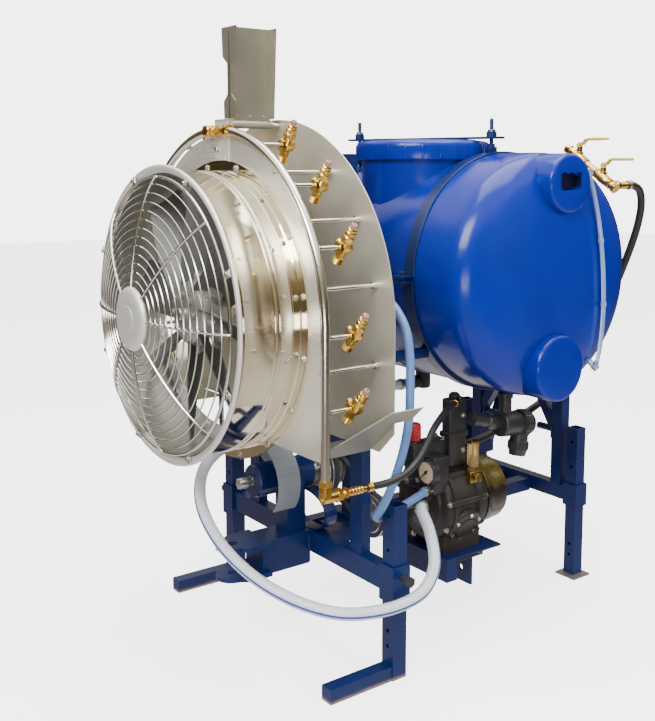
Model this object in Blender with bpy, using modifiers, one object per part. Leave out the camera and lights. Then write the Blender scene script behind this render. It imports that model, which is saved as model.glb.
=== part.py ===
"""Tractor-mounted air-blast sprayer: tank, axial fan, nozzle arch, pump and frame.

Metres, +Z up, -Y is the fan's intake (rear of the machine), +Y is the tractor side.
The origin is on the floor, under the middle of the machine.
"""
import math

import bmesh
import bpy
from mathutils import Matrix, Vector

GAP = 0.0003  # clearance between pieces that rest on each other

# Fan and outlet slot
FAN_Z = 0.9225
DRUM_R = 0.360
DRUM_WALL = 0.004
DRUM_Y = (-0.684, -0.5038)
FRONT_PLATE_Y = (-0.5035, -0.5005)
REAR_PLATE_Y = (-0.339, -0.336)
FRONT_ARCH_R = 0.455
REAR_ARCH_R = 0.495
PLATE_FOOT_Z = 0.615
STUD_R = 0.006
STUD_RING_R = 0.435
STUD_ANGLES = (55.5, 34.5, 12.5)
LOW_STUD_Z = 0.827

# Spray manifold and nozzles
MANIFOLD_R = 0.465
MANIFOLD_Y = -0.5155
PIPE_R = 0.011
NOZZLE_ANGLES = (66.0, 45.0, 24.0)
NOZZLE_LOW_Z = (0.912, 0.742)
NOZZLE_LEAN = (60.0, 57.0, 54.0, 51.0, 48.0)
STUB_END_Y = -0.452

# Drive line
DRIVE_Z = 0.444
PUMP_X = 0.20
PUMP_Y = (0.0, 0.175)
PUMP_Z = 0.352
SHAFT_R = 0.015
FAN_BELT_Y = (-0.208, -0.192)
PUMP_BELT_Y = (-0.172, -0.156)
DRIVE_PULLEY_R = 0.078
FAN_PULLEY_R = 0.050
PUMP_PULLEY_R = 0.052
BELT_THICK = 0.008
BELT_CLEAR = 1.012  # the belt's flats stay off the pulley's round floor

# Tank
TANK_Y = 0.280
TANK_Z = 0.995
TANK_R = 0.338
TANK_FLAT = 0.360
DOME_DEPTH = 0.115
TANK_WALL = 0.008
NECK_Y = 0.180
NECK_R = 0.180
NECK_TOP = 1.345
LID_R = 0.197
LID_Z = (1.3135, 1.372)
STRAP_X = 0.222
STRAP_WIDTH = 0.040
ROD_Y = (0.243, 0.116)  # clamp rods, right and left

# Frame
REAR_LEG = (0.392, -0.247, 0.044)  # x, y, side of the square tube
FRONT_LEG = (0.245, 0.6185, 0.040)
RAIL_Z = (0.235, 0.275)
SHELF_TOP = 0.2212

LOOKS = {
    "frame_blue": ((0.035, 0.07, 0.30), 0.38, 0.0),
    "tank_blue": ((0.01, 0.12, 0.62), 0.18, 0.0),
    "stainless": ((0.72, 0.71, 0.69), 0.22, 1.0),
    "brushed": ((0.52, 0.51, 0.46), 0.36, 1.0),
    "brass": ((0.80, 0.56, 0.16), 0.25, 1.0),
    "cast_brown": ((0.07, 0.06, 0.055), 0.5, 0.3),
    "black": ((0.02, 0.02, 0.022), 0.45, 0.0),
    "red": ((0.6, 0.02, 0.03), 0.35, 0.0),
    "yellow": ((0.85, 0.62, 0.03), 0.4, 0.0),
    "guard_grey": ((0.50, 0.51, 0.46), 0.5, 0.0),
    "zinc": ((0.62, 0.62, 0.60), 0.35, 1.0),
    "clear_hose": ((0.75, 0.78, 0.80), 0.25, 0.0),
    "blue_hose": ((0.30, 0.42, 0.72), 0.35, 0.0),
    "white": ((0.85, 0.85, 0.82), 0.4, 0.0),
}


def clear_scene():
    for obj in list(bpy.data.objects):
        bpy.data.objects.remove(obj, do_unlink=True)


def collection(name):
    made = bpy.data.collections.new(name)
    bpy.context.scene.collection.children.link(made)
    return made


def look(name):
    found = bpy.data.materials.get(name)
    if found:
        return found
    colour, rough, metal = LOOKS[name]
    made = bpy.data.materials.new(name)
    made.use_nodes = True
    shader = made.node_tree.nodes["Principled BSDF"]
    shader.inputs["Base Color"].default_value = (*colour, 1.0)
    shader.inputs["Roughness"].default_value = rough
    shader.inputs["Metallic"].default_value = metal
    return made


# ---------------------------------------------------------------- solids
def temp_object(mesh):
    obj = bpy.data.objects.new("temp", mesh)
    bpy.context.scene.collection.objects.link(obj)
    return obj


def solid(bm):
    """A temporary object from a bmesh, welded and with its faces pointing out."""
    bmesh.ops.remove_doubles(bm, verts=bm.verts, dist=0.000005)
    bmesh.ops.recalc_face_normals(bm, faces=bm.faces)
    mesh = bpy.data.meshes.new("temp")
    bm.to_mesh(mesh)
    bm.free()
    return temp_object(mesh)


def evaluated(obj):
    """Replaces an object by a plain mesh object of what its modifiers make."""
    graph = bpy.context.evaluated_depsgraph_get()
    mesh = bpy.data.meshes.new_from_object(obj.evaluated_get(graph))
    mesh.transform(obj.matrix_world)
    bpy.data.objects.remove(obj, do_unlink=True)
    bm = bmesh.new()
    bm.from_mesh(mesh)
    return solid(bm)


def block(x, y, z):
    """A box from its three spans."""
    bm = bmesh.new()
    bmesh.ops.create_cube(bm, size=1.0)
    size = (x[1] - x[0], y[1] - y[0], z[1] - z[0])
    middle = ((x[0] + x[1]) / 2, (y[0] + y[1]) / 2, (z[0] + z[1]) / 2)
    bmesh.ops.scale(bm, vec=size, verts=bm.verts)
    bmesh.ops.translate(bm, vec=middle, verts=bm.verts)
    return solid(bm)


def bar(start, end, radius, sides=16, end_radius=None):
    """A round or polygonal bar between two points."""
    start, end = Vector(start), Vector(end)
    reach = end - start
    bm = bmesh.new()
    bmesh.ops.create_cone(
        bm, cap_ends=True, segments=sides, radius1=radius,
        radius2=radius if end_radius is None else end_radius, depth=reach.length,
    )
    turn = reach.to_track_quat("Z", "Y").to_matrix().to_4x4()
    bm.transform(Matrix.Translation((start + end) / 2) @ turn)
    return solid(bm)


def beam(start, end, width):
    """A square bar between two points, its sides square to the axes."""
    obj = bar(start, end, width / math.sqrt(2), 4)
    reach = Vector(end) - Vector(start)
    middle = (Vector(start) + Vector(end)) / 2
    spin = Matrix.Rotation(math.pi / 4, 4, reach.normalized())
    obj.data.transform(Matrix.Translation(middle) @ spin @ Matrix.Translation(-middle))
    return obj


AXIS_TURN = {
    "X": Matrix.Rotation(math.pi / 2, 4, "Y"),
    "Y": Matrix.Rotation(-math.pi / 2, 4, "X"),
    "Z": Matrix.Identity(4),
}


def turned(profile, axis, centre, steps=32, ring=False):
    """A turned solid: profile of (radius, place along the axis), closed if it is a ring."""
    bm = bmesh.new()
    points = [bm.verts.new((r, 0.0, h)) for r, h in profile]
    for a, b in zip(points, points[1:]):
        bm.edges.new((a, b))
    if ring:
        bm.edges.new((points[-1], points[0]))
    mesh = bpy.data.meshes.new("temp")
    bm.to_mesh(mesh)
    bm.free()
    obj = temp_object(mesh)
    screw = obj.modifiers.new("turn", "SCREW")
    screw.axis = "Z"
    screw.steps = steps
    screw.render_steps = steps
    screw.use_merge_vertices = True
    screw.merge_threshold = 0.00001
    obj = evaluated(obj)
    obj.data.transform(Matrix.Translation(centre) @ AXIS_TURN[axis])
    return obj


def sheet(outline, holes, y):
    """A flat plate in the XZ plane: an outline with holes, from y[0] to y[1]."""
    curve = bpy.data.curves.new("temp", "CURVE")
    curve.dimensions = "2D"
    curve.fill_mode = "BOTH"
    curve.extrude = (y[1] - y[0]) / 2
    for loop in [outline, *holes]:
        spline = curve.splines.new("POLY")
        spline.points.add(len(loop) - 1)
        for point, (x, z) in zip(spline.points, loop):
            point.co = (x, z, 0.0, 1.0)
        spline.use_cyclic_u = True
    obj = temp_object(curve)
    obj.matrix_world = Matrix.Translation((0, (y[0] + y[1]) / 2, 0)) @ Matrix.Rotation(
        math.pi / 2, 4, "X"
    )
    bpy.context.view_layer.update()
    return evaluated(obj)


def path_tube(points, radius, resolution=1, closed=False):
    """A tube along points, as a mesh."""
    curve = bpy.data.curves.new("temp", "CURVE")
    curve.dimensions = "3D"
    curve.bevel_depth = radius
    curve.bevel_resolution = resolution
    curve.use_fill_caps = not closed
    spline = curve.splines.new("POLY")
    spline.points.add(len(points) - 1)
    for point, place in zip(spline.points, points):
        point.co = (*place, 1.0)
    spline.use_cyclic_u = closed
    return evaluated(temp_object(curve))


def combine(base, others, operation):
    for other in others:
        step = base.modifiers.new("step", "BOOLEAN")
        step.operation = operation
        step.object = other
        step.solver = "EXACT"
        bpy.context.view_layer.update()
        base = evaluated(base)
        bpy.data.objects.remove(other, do_unlink=True)
    return base


def join(*pieces):
    return combine(pieces[0], pieces[1:], "UNION")


def cut(base, *cutters):
    return combine(base, cutters, "DIFFERENCE")


def mirrored(obj):
    """A copy of a temporary solid on the other side of the machine's middle plane."""
    bm = bmesh.new()
    bm.from_mesh(obj.data)
    bmesh.ops.scale(bm, vec=(-1, 1, 1), verts=bm.verts)
    return solid(bm)


def place(obj, name, look_name, origin=(0, 0, 0)):
    """Names a solid, gives it its look and puts its origin on its joint's axis."""
    obj.data.transform(Matrix.Translation(-Vector(origin)))
    obj.location = origin
    obj.name = name
    obj.data.name = name
    obj.data.materials.clear()
    obj.data.materials.append(look(look_name))
    obj.data.shade_smooth()
    obj.data.set_sharp_from_angle(angle=math.radians(32))
    for user in list(obj.users_collection):
        user.objects.unlink(obj)
    PARTS.objects.link(obj)
    return obj


def pair(obj, name, look_name, origin=(0, 0, 0)):
    """Places a right-hand solid and its mirror image."""
    x, y, z = origin
    twin = mirrored(obj)
    place(obj, name + "_right", look_name, origin)
    place(twin, name + "_left", look_name, (-x, y, z))


# ---------------------------------------------------------------- outlines
def arc(centre, radius, first, last, count):
    """Points on an arc in the XZ plane, angles in degrees from +X."""
    step = (last - first) / count
    return [
        (
            centre[0] + radius * math.cos(math.radians(first + step * i)),
            centre[1] + radius * math.sin(math.radians(first + step * i)),
        )
        for i in range(count + 1)
    ]


def circle(centre, radius, count):
    return arc(centre, radius, 0.0, 360.0, count)[:-1]


def oval(centre, half_x, half_z, count=24):
    return [(centre[0] + half_x * x, centre[1] + half_z * z) for x, z in circle((0, 0), 1, count)]


def belt_outline(low, low_r, high, high_r, count=14):
    """The outline of a belt round two pulleys in the XZ plane."""
    low, high = Vector(low), Vector(high)
    reach = high - low
    heading = math.degrees(math.atan2(reach.y, reach.x))
    wrap = math.degrees(math.acos((low_r - high_r) / reach.length))
    top = arc(high, high_r, heading - wrap, heading + wrap, count)
    bottom = arc(low, low_r, heading + wrap, heading + 360.0 - wrap, count)
    return top + bottom


def smooth_route(points, spacing):
    """Points at an even spacing on a smooth curve through the route's own points."""
    route = [Vector(p) for p in points]
    ends = [2 * route[0] - route[1], *route, 2 * route[-1] - route[-2]]
    fine = []
    for a, b, c, d in zip(ends, ends[1:], ends[2:], ends[3:]):
        for i in range(20):
            t = i / 20
            fine.append(
                0.5 * (2 * b + (c - a) * t + (2 * a - 5 * b + 4 * c - d) * t * t
                       + (3 * b - a - 3 * c + d) * t ** 3)
            )
    fine.append(route[-1])
    total = sum((q - p).length for p, q in zip(fine, fine[1:]))
    count = max(2, round(total / spacing))
    even, walked, target = [fine[0]], 0.0, total / count
    for p, q in zip(fine, fine[1:]):
        length = (q - p).length
        while walked + length >= target and len(even) < count:
            even.append(p.lerp(q, (target - walked) / length))
            target += total / count
        walked += length
    even.append(fine[-1])
    return even


# ---------------------------------------------------------------- frame
def square_tube(x, y, side, z, wall=0.004, floor=0.0):
    """An upright square tube, open at the top, with a floor if one is asked for."""
    half = side / 2
    outer = block((x - half, x + half), (y - half, y + half), z)
    inner_half = half - wall
    low = z[0] + floor if floor else z[0] - 0.01
    inner = block(
        (x - inner_half, x + inner_half), (y - inner_half, y + inner_half), (low, z[1] + 0.01)
    )
    return cut(outer, inner)


def sleeve(leg, z):
    x, y, side = leg
    return square_tube(x, y, side + 0.012, z, wall=0.005)


def rear_frame():
    x, y, side = REAR_LEG
    inner = x - side / 2 - 0.006
    cross = block((-inner - 0.002, inner + 0.002), (y - 0.020, y + 0.020), (0.225, 0.285))
    right = sleeve(REAR_LEG, (0.205, 0.300))
    left = mirrored(right)
    upright = block((0.225, 0.275), (y - 0.015, y + 0.015), (0.280, 0.610))
    bracket = block((0.225, 0.275), (REAR_PLATE_Y[1] + 0.0005, y + 0.015), (0.600, 0.640))
    side_part = join(upright, bracket)
    other_side = mirrored(side_part)
    member = block((-0.230, 0.230), (y - 0.015, y + 0.015), (0.555, 0.600))
    hoop = sheet(oval((0.020, 0.340), 0.098, 0.058), [oval((0.020, 0.340), 0.093, 0.053)],
                 (-0.262, -0.224))
    body = join(cross, right, left, side_part, other_side, member, hoop)
    place(body, "rear_frame", "frame_blue")


def front_frame():
    x, y, side = FRONT_LEG
    inner = x - side / 2 - 0.006
    cross = block((-inner - 0.002, inner + 0.002), (y - 0.0185, y + 0.0185), (0.240, 0.285))
    right = sleeve(FRONT_LEG, (0.230, 0.300))
    left = mirrored(right)
    post = block((0.160, 0.200), (y - 0.0185, y + 0.0185), (0.280, 0.860))
    brace = beam((0.176, y, 0.440), (-0.004, y, 0.730), 0.030)
    pin = bar((0.170, y, 0.455), (0.090, y, 0.455), 0.011, 16)
    side_part = join(post, brace, pin)
    other_side = mirrored(side_part)
    place(join(cross, right, left, side_part, other_side), "front_frame", "frame_blue")


def chassis_rails():
    rail = block((0.035, 0.075), (-0.2265, 0.5995), RAIL_Z)
    other = mirrored(rail)
    ties = [block((-0.040, 0.040), (y, y + 0.04), (0.240, 0.270)) for y in (-0.18, 0.30)]
    web = block((0.040, 0.075), (0.005, 0.205), (SHELF_TOP - 0.006, 0.240))
    shelf = block((0.040, 0.320), (0.0, 0.210), (SHELF_TOP - 0.006, SHELF_TOP))
    arm = block((0.045, 0.310), (0.010, 0.050), (0.150, SHELF_TOP - 0.003))
    tab = block((0.190, 0.290), (0.120, 0.128), (0.110, SHELF_TOP - 0.003))
    tab = cut(tab, bar((0.250, 0.1, 0.150), (0.250, 0.15, 0.150), 0.009, 16))
    mast = block((-0.020, 0.020), (-0.105, -0.080), (0.270, 1.330))
    foot = block((-0.075, 0.075), (-0.115, -0.070), (0.270, 0.285))
    place(join(rail, other, *ties, web, shelf, arm, tab, foot, mast), "chassis_rails", "frame_blue")


def drawbar_clevis():
    _, beam_y, _ = REAR_LEG
    web = block((-0.045, 0.045), (-0.420, beam_y - 0.0203), (0.190, 0.284))
    plates = []
    for low in (0.190, 0.272):
        plate = block((-0.062, 0.062), (-0.490, -0.400), (low, low + 0.012))
        nose = bar((0, -0.490, low), (0, -0.490, low + 0.012), 0.045, 24)
        plates.append(join(plate, nose))
    body = join(web, *plates)
    pin_hole = bar((0, -0.490, 0.15), (0, -0.490, 0.32), 0.014, 24)
    corners = [
        bar((side * 0.098, -0.512, 0.15), (side * 0.098, -0.512, 0.32), 0.055, 24)
        for side in (-1, 1)
    ]
    place(cut(body, pin_hole, *corners), "drawbar_clevis", "frame_blue")


def hitch_mast():
    y = FRONT_LEG[1] + 0.0185 + GAP
    foot = block((0.160, 0.200), (y, y + 0.030), (0.300, 0.420))
    leg = beam((0.178, y + 0.020, 0.330), (0.022, 0.705, 0.900), 0.028)
    plate = block((0.024, 0.034), (0.690, 0.780), (0.850, 0.950))
    side_part = join(foot, leg, plate)
    other_side = mirrored(side_part)
    tie = block((-0.030, 0.030), (0.690, 0.715), (0.860, 0.900))
    riser = beam((0.020, 0.705, 0.890), (0.200, 0.690, 1.215), 0.024)
    body = join(side_part, other_side, tie, riser)
    pin_hole = bar((-0.05, 0.755, 0.915), (0.05, 0.755, 0.915), 0.0127, 24)
    place(cut(body, pin_hole), "hitch_mast", "frame_blue")


def legs():
    x, y, side = REAR_LEG
    post = square_tube(x, y, side, (0.0, 0.455), floor=0.042)
    foot = block((x - 0.019, x + 0.019), (-0.461, y), (0.0, 0.038))
    holes = [
        bar((x, y - 0.03, z), (x, y, z), 0.0055, 12) for z in (0.086, 0.127, 0.338, 0.424)
    ]
    pair(cut(join(post, foot), *holes), "rear_leg", "frame_blue", (x, y, 0.0))
    x, y, side = FRONT_LEG
    post = square_tube(x, y, side, (0.0, 0.480), floor=0.012)
    pad = block((x - 0.0375, x + 0.0375), (y - 0.0375, y + 0.0375), (0.0, 0.006))
    holes = [
        bar((x, y - 0.03, z), (x, y, z), 0.0055, 12) for z in (0.070, 0.105, 0.355, 0.435)
    ]
    pair(cut(join(post, pad), *holes), "front_leg", "frame_blue", (x, y, 0.0))


def leg_screws():
    x, y, side = REAR_LEG
    face = x + side / 2 + 0.006 + GAP
    stem = bar((face, y, 0.270), (face + 0.022, y, 0.270), 0.006, 12)
    knob = bar((face + 0.018, y, 0.270), (face + 0.036, y, 0.270), 0.014, 6)
    pair(join(stem, knob), "leg_screw", "black", (face, y, 0.270))


# ---------------------------------------------------------------- tank
def dome_profile(radius, flat, depth, count=6):
    """One end of the barrel, from its rim to its middle: (radius, x)."""
    points = []
    for i in range(count + 1):
        t = math.radians(90.0 * i / count)
        points.append((radius * max(math.cos(t), 0.0) ** 0.8, flat + depth * math.sin(t) ** 0.8))
    points[-1] = (0.0, flat + depth)
    return points


def barrel(radius, flat, depth, steps=32):
    end = dome_profile(radius, flat, depth)
    start = [(r, -x) for r, x in reversed(end)]
    return turned(start + end, "X", (0, TANK_Y, TANK_Z), steps)


def tank():
    shell = barrel(TANK_R, TANK_FLAT, DOME_DEPTH)
    neck = bar((0, NECK_Y, 1.05), (0, NECK_Y, NECK_TOP), NECK_R, 36)
    parts = [neck]
    for side in (-1, 1):
        parts.append(bar((side * 0.38, 0.277, 1.250), (side * 0.488, 0.277, 1.250), 0.080, 20))
        parts.append(bar((side * 0.38, 0.255, 0.752), (side * 0.488, 0.255, 0.752), 0.092, 20))
    parts.append(bar((0.120, -0.040, TANK_Z), (0.120, -0.085, TANK_Z), 0.017, 16))
    drain = join(
        bar((-0.100, TANK_Y, 0.680), (-0.100, TANK_Y, 0.592), 0.024, 16),
        bar((-0.100, TANK_Y, 0.612), (-0.100, 0.200, 0.612), 0.019, 16),
    )
    shell = join(shell, *parts, drain)
    rim_groove = turned(
        [(NECK_R, LID_Z[0] - 0.0015), (LID_R + 0.0015, LID_Z[0] - 0.0015),
         (LID_R + 0.0015, 1.40), (NECK_R, 1.40)],
        "Z", (0, NECK_Y, 0), 36, ring=True,
    )
    inside = barrel(TANK_R - TANK_WALL, TANK_FLAT, DOME_DEPTH - TANK_WALL)
    collar = turned(
        [(NECK_R - 0.02, LID_Z[0] - 0.0075), (LID_R + 0.0075, LID_Z[0] - 0.0075),
         (LID_R + 0.0075, 1.40), (NECK_R - 0.02, 1.40)],
        "Z", (0, NECK_Y, 0), 36, ring=True,
    )
    inside = cut(inside, collar)
    mouth = bar((0, NECK_Y, 1.00), (0, NECK_Y, 1.40), NECK_R - TANK_WALL, 36)
    inside = join(inside, mouth)
    shell = cut(shell, rim_groove, inside)
    grips = [
        block(sorted((side * 0.455, side * 0.50)), (0.235, 0.318), (1.232, 1.280))
        for side in (-1, 1)
    ]
    place(cut(shell, *grips), "tank", "tank_blue")


def tank_lid():
    rim, low, top = NECK_R + 0.0015, LID_Z[0], LID_Z[1]
    profile = [
        (0.0, top), (LID_R - 0.012, top), (LID_R, top - 0.012), (LID_R, low),
        (rim, low), (rim, NECK_TOP + GAP), (0.0, NECK_TOP + GAP),
    ]
    place(turned(profile, "Z", (0, NECK_Y, 0), 36), "tank_lid", "tank_blue", (0, NECK_Y, low))


def clamp_bar():
    start = Vector((STRAP_X, ROD_Y[0], 0))
    end = Vector((-STRAP_X, ROD_Y[1], 0))
    along = (end - start).normalized()
    low, high = LID_Z[1] + GAP, LID_Z[1] + 0.0065
    piece = block((-0.265, 0.265), (-0.016, 0.016), (low, high))
    turn = math.atan2(along.y, along.x)
    piece.data.transform(
        Matrix.Translation((start + end) / 2) @ Matrix.Rotation(turn, 4, "Z")
    )
    for at in (start, end):
        nut = bar((at.x, at.y, high - 0.001), (at.x, at.y, high + 0.014), 0.015, 6)
        piece = join(piece, nut)
    for at in (start, end):
        piece = cut(piece, bar((at.x, at.y, 1.30), (at.x, at.y, 1.50), 0.0075, 16))
    place(piece, "lid_clamp_bar", "frame_blue", (0, NECK_Y, low))


def half_band(inner, outer, upper):
    """Half a steel band round the barrel, centred on the right-hand strap's place."""
    half = STRAP_WIDTH / 2
    ring = turned(
        [(inner, -half), (outer, -half), (outer, half), (inner, half)],
        "X", (STRAP_X, TANK_Y, TANK_Z), 32, ring=True,
    )
    away = (TANK_Z - 0.6, TANK_Z + 0.004) if upper else (TANK_Z - 0.004, TANK_Z + 0.6)
    return cut(ring, block((0, 0.5), (TANK_Y - 0.6, TANK_Y + 0.6), away))


def strap(rod_y, name, side):
    inner, outer = TANK_R + 0.0004, TANK_R + 0.0044
    band = half_band(inner, outer, True)
    half = STRAP_WIDTH / 2
    span = (STRAP_X - half, STRAP_X + half)
    rear = block(span, (TANK_Y - 0.383, TANK_Y - inner - 0.002), (TANK_Z + 0.004, TANK_Z + 0.010))
    front = block(span, (TANK_Y + inner + 0.002, TANK_Y + 0.383), (TANK_Z + 0.004, TANK_Z + 0.010))
    base = TANK_Z + math.sqrt(outer ** 2 - (rod_y + 0.014 - TANK_Y) ** 2) - 0.003
    rod = bar((STRAP_X, rod_y, base), (STRAP_X, rod_y, 1.430), 0.006, 12)
    lug = block(
        (STRAP_X - 0.010, STRAP_X + 0.010), (rod_y - 0.014, rod_y + 0.014),
        (base - 0.0005, base + 0.016),
    )
    body = join(band, rear, front, lug, rod)
    if side < 0:
        twin = mirrored(body)
        bpy.data.objects.remove(body, do_unlink=True)
        body = twin
    place(body, name, "frame_blue")


def saddles():
    inner, outer = TANK_R + 0.0004, TANK_R + 0.0084
    band = half_band(inner, outer, False)
    half = STRAP_WIDTH / 2
    span = (STRAP_X - half, STRAP_X + half)
    rear = block(span, (TANK_Y - 0.383, TANK_Y - inner - 0.003), (TANK_Z - 0.012, TANK_Z - 0.004))
    front = block(span, (TANK_Y + inner + 0.003, TANK_Y + 0.383), (TANK_Z - 0.012, TANK_Z - 0.004))
    shelf = block((0.212, 0.242), (-0.262, -0.002), (0.775, 0.800))
    post = block((0.225, 0.242), (-0.262, -0.232), (0.640 + GAP, 0.790))
    foot = block((0.200 + GAP, 0.242), (0.340, 0.385), (-0.020, 0.020))
    foot.data.transform(
        Matrix.Translation((0, TANK_Y, TANK_Z)) @ Matrix.Rotation(math.radians(-30), 4, "X")
    )
    pair(join(band, rear, front, shelf, post, foot), "tank_saddle", "frame_blue")


def level_tube():
    """The sight tube stands off the dome more where the dome turns away from it."""
    points = []
    for i in range(17):
        z = 1.280 - 0.555 * i / 16
        y = 0.393 + 0.115 * (1.285 - z)
        out = math.hypot(y - TANK_Y, z - TANK_Z) / TANK_R
        x = TANK_FLAT + DOME_DEPTH * (1 - out ** 2.5) ** 0.4 + 0.0125 + 0.024 * out ** 8
        points.append((x, y, z))
    place(path_tube(points, 0.008, 2), "level_tube", "clear_hose")


# ---------------------------------------------------------------- fan
def fan_drum():
    outer, inner = DRUM_R, DRUM_R - DRUM_WALL
    front, back = DRUM_Y
    profile = [
        (inner, back), (0.388, back), (0.388, back - 0.005), (outer, back - 0.005),
        (outer, -0.572), (outer + 0.005, -0.574), (outer + 0.005, -0.584), (outer, -0.586),
    ]
    # The lip flares out round the intake.
    lip = [
        (outer, front + 0.022), (outer + 0.012, front + 0.012), (outer + 0.017, front + 0.004),
        (outer + 0.014, front), (outer + 0.002, front), (inner, front + 0.010),
    ]
    place(turned(profile + lip, "Y", (0, 0, FAN_Z), 40, ring=True), "fan_drum", "stainless")


def plate_outline(radius, foot_z, corner):
    """An arch over the fan with straight sides and cut lower corners."""
    top = arc((0, FAN_Z), radius, 0.0, 180.0, 32)
    low = [(-radius, foot_z + corner), (-radius + corner, foot_z),
           (radius - corner, foot_z), (radius, foot_z + corner)]
    return top + low


def front_plate():
    outline = plate_outline(FRONT_ARCH_R, PLATE_FOOT_Z, 0.004)
    plate = sheet(outline, [], FRONT_PLATE_Y)
    bore = bar((0, -0.6, FAN_Z), (0, -0.4, FAN_Z), DRUM_R - DRUM_WALL, 40)
    place(cut(plate, bore), "front_plate", "stainless")


def stud_places():
    places = [
        (STUD_RING_R * math.cos(math.radians(a)), FAN_Z + STUD_RING_R * math.sin(math.radians(a)))
        for a in STUD_ANGLES
    ]
    places.append((STUD_RING_R, LOW_STUD_Z))
    return places


def rear_plate():
    outline = plate_outline(REAR_ARCH_R, PLATE_FOOT_Z + GAP, 0.055)
    plate = sheet(outline, [circle((0, FAN_Z), SHAFT_R + 0.003, 24)], REAR_PLATE_Y)
    pieces = []
    for x, z in stud_places():
        for side in (-1, 1):
            start = (side * x, FRONT_PLATE_Y[1] + GAP, z)
            pieces.append(bar(start, (side * x, REAR_PLATE_Y[0] + 0.001, z), STUD_R, 8))
    for side in (-1, 1):
        x = side * 0.0125
        pieces.append(bar((x, -0.4970, 1.4025), (x, REAR_PLATE_Y[0] + 0.001, 1.4025), 0.006, 8))
    bearing = turned(
        [(SHAFT_R + 0.0015, -0.285), (0.040, -0.285), (0.042, -0.325), (0.062, -0.328),
         (0.062, REAR_PLATE_Y[1] - 0.001), (SHAFT_R + 0.0015, REAR_PLATE_Y[1] - 0.001)],
        "Y", (0, 0, FAN_Z), 24, ring=True,
    )
    place(join(plate, *pieces, bearing), "rear_plate", "brushed")


def top_bracket():
    plate = block((-0.045, 0.045), (FRONT_PLATE_Y[1] + GAP, -0.4975), (1.330, 1.416))
    place(plate, "top_bracket", "stainless")


GUARD_R = 0.347
GUARD_Y = -0.6905
GUARD_DOME = 0.078


def guard_y(radius):
    """The guard's dome: how far out a ring of this radius stands."""
    return GUARD_Y - GUARD_DOME * (1 - (radius / GUARD_R) ** 2) ** 0.75


def fan_guard():
    hub = bar((0, -0.780, FAN_Z), (0, -0.764, FAN_Z), 0.080, 24)
    pieces = []
    for ring_r in (GUARD_R, 0.285, 0.205, 0.125):
        wire = 0.0040 if ring_r == GUARD_R else 0.0025
        y = guard_y(ring_r)
        section = [(ring_r + wire * a, y + wire * b) for a, b in ((0, 1), (1, 0), (0, -1), (-1, 0))]
        pieces.append(turned(section, "Y", (0, 0, FAN_Z), 28, ring=True))
    radii = [0.348, 0.325, 0.26, 0.16, 0.07]
    for i in range(8):
        a = math.radians(45 * i)
        points = [
            (r * math.cos(a), guard_y(min(r, GUARD_R)), FAN_Z + r * math.sin(a)) for r in radii
        ]
        pieces.append(path_tube(points, 0.0045, 0))
    place(join(hub, *pieces), "fan_guard", "stainless")


def fan_rotor():
    hub = turned(
        [(SHAFT_R + GAP, -0.625), (0.070, -0.625), (0.085, -0.605), (0.085, -0.535),
         (0.075, -0.530), (SHAFT_R + GAP, -0.530)],
        "Y", (0, 0, FAN_Z), 24, ring=True,
    )
    blades = []
    for i in range(8):
        blade = block((-0.0025, 0.0025), (-0.055, 0.055), (0.070, 0.342))
        twist = Matrix.Rotation(math.radians(52), 4, "Z")
        turn = Matrix.Rotation(math.radians(45 * i + 11), 4, "Y")
        blade.data.transform(Matrix.Translation((0, -0.575, FAN_Z)) @ turn @ twist)
        blades.append(blade)
    place(join(hub, *blades), "fan_rotor", "zinc", (0, 0, FAN_Z))


def pulley_steps(groove_r, span, side_r):
    """Profile points of one belt pulley, along +Y."""
    low, high = span[0] - 0.006, span[1] + 0.006
    return [(side_r, low), (side_r, span[0] - 0.001), (groove_r, span[0] - 0.0006),
            (groove_r, span[1] + 0.0006), (side_r, span[1] + 0.001), (side_r, high)]


def shafts():
    fan = [(0.0, -0.640), (SHAFT_R, -0.640), (SHAFT_R, FAN_BELT_Y[0] - 0.006),
           *pulley_steps(FAN_PULLEY_R, FAN_BELT_Y, FAN_PULLEY_R + 0.009),
           (SHAFT_R, FAN_BELT_Y[1] + 0.006), (SHAFT_R, -0.172), (0.0, -0.172)]
    place(turned(fan, "Y", (0, 0, FAN_Z), 20), "fan_shaft", "zinc", (0, 0, FAN_Z))
    drive = [(0.0, -0.468), (SHAFT_R, -0.468), (SHAFT_R, FAN_BELT_Y[0] - 0.006),
             *pulley_steps(DRIVE_PULLEY_R, FAN_BELT_Y, DRIVE_PULLEY_R + 0.009),
             (0.030, FAN_BELT_Y[1] + 0.006), (0.030, PUMP_BELT_Y[0] - 0.006),
             *pulley_steps(PUMP_PULLEY_R, PUMP_BELT_Y, PUMP_PULLEY_R + 0.009),
             (SHAFT_R, PUMP_BELT_Y[1] + 0.006), (SHAFT_R, -0.130), (0.0, -0.130)]
    place(turned(drive, "Y", (0, 0, DRIVE_Z), 20), "drive_shaft", "zinc", (0, 0, DRIVE_Z))
    pump_r = 0.0125
    pump = [(0.0, PUMP_BELT_Y[0] - 0.020), (pump_r, PUMP_BELT_Y[0] - 0.020),
            (pump_r, PUMP_BELT_Y[0] - 0.006),
            *pulley_steps(PUMP_PULLEY_R, PUMP_BELT_Y, PUMP_PULLEY_R + 0.009),
            (pump_r, PUMP_BELT_Y[1] + 0.006), (pump_r, 0.245), (0.0, 0.245)]
    centre = (PUMP_X, 0, PUMP_Z)
    place(turned(pump, "Y", centre, 20), "pump_shaft", "zinc", centre)


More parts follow.
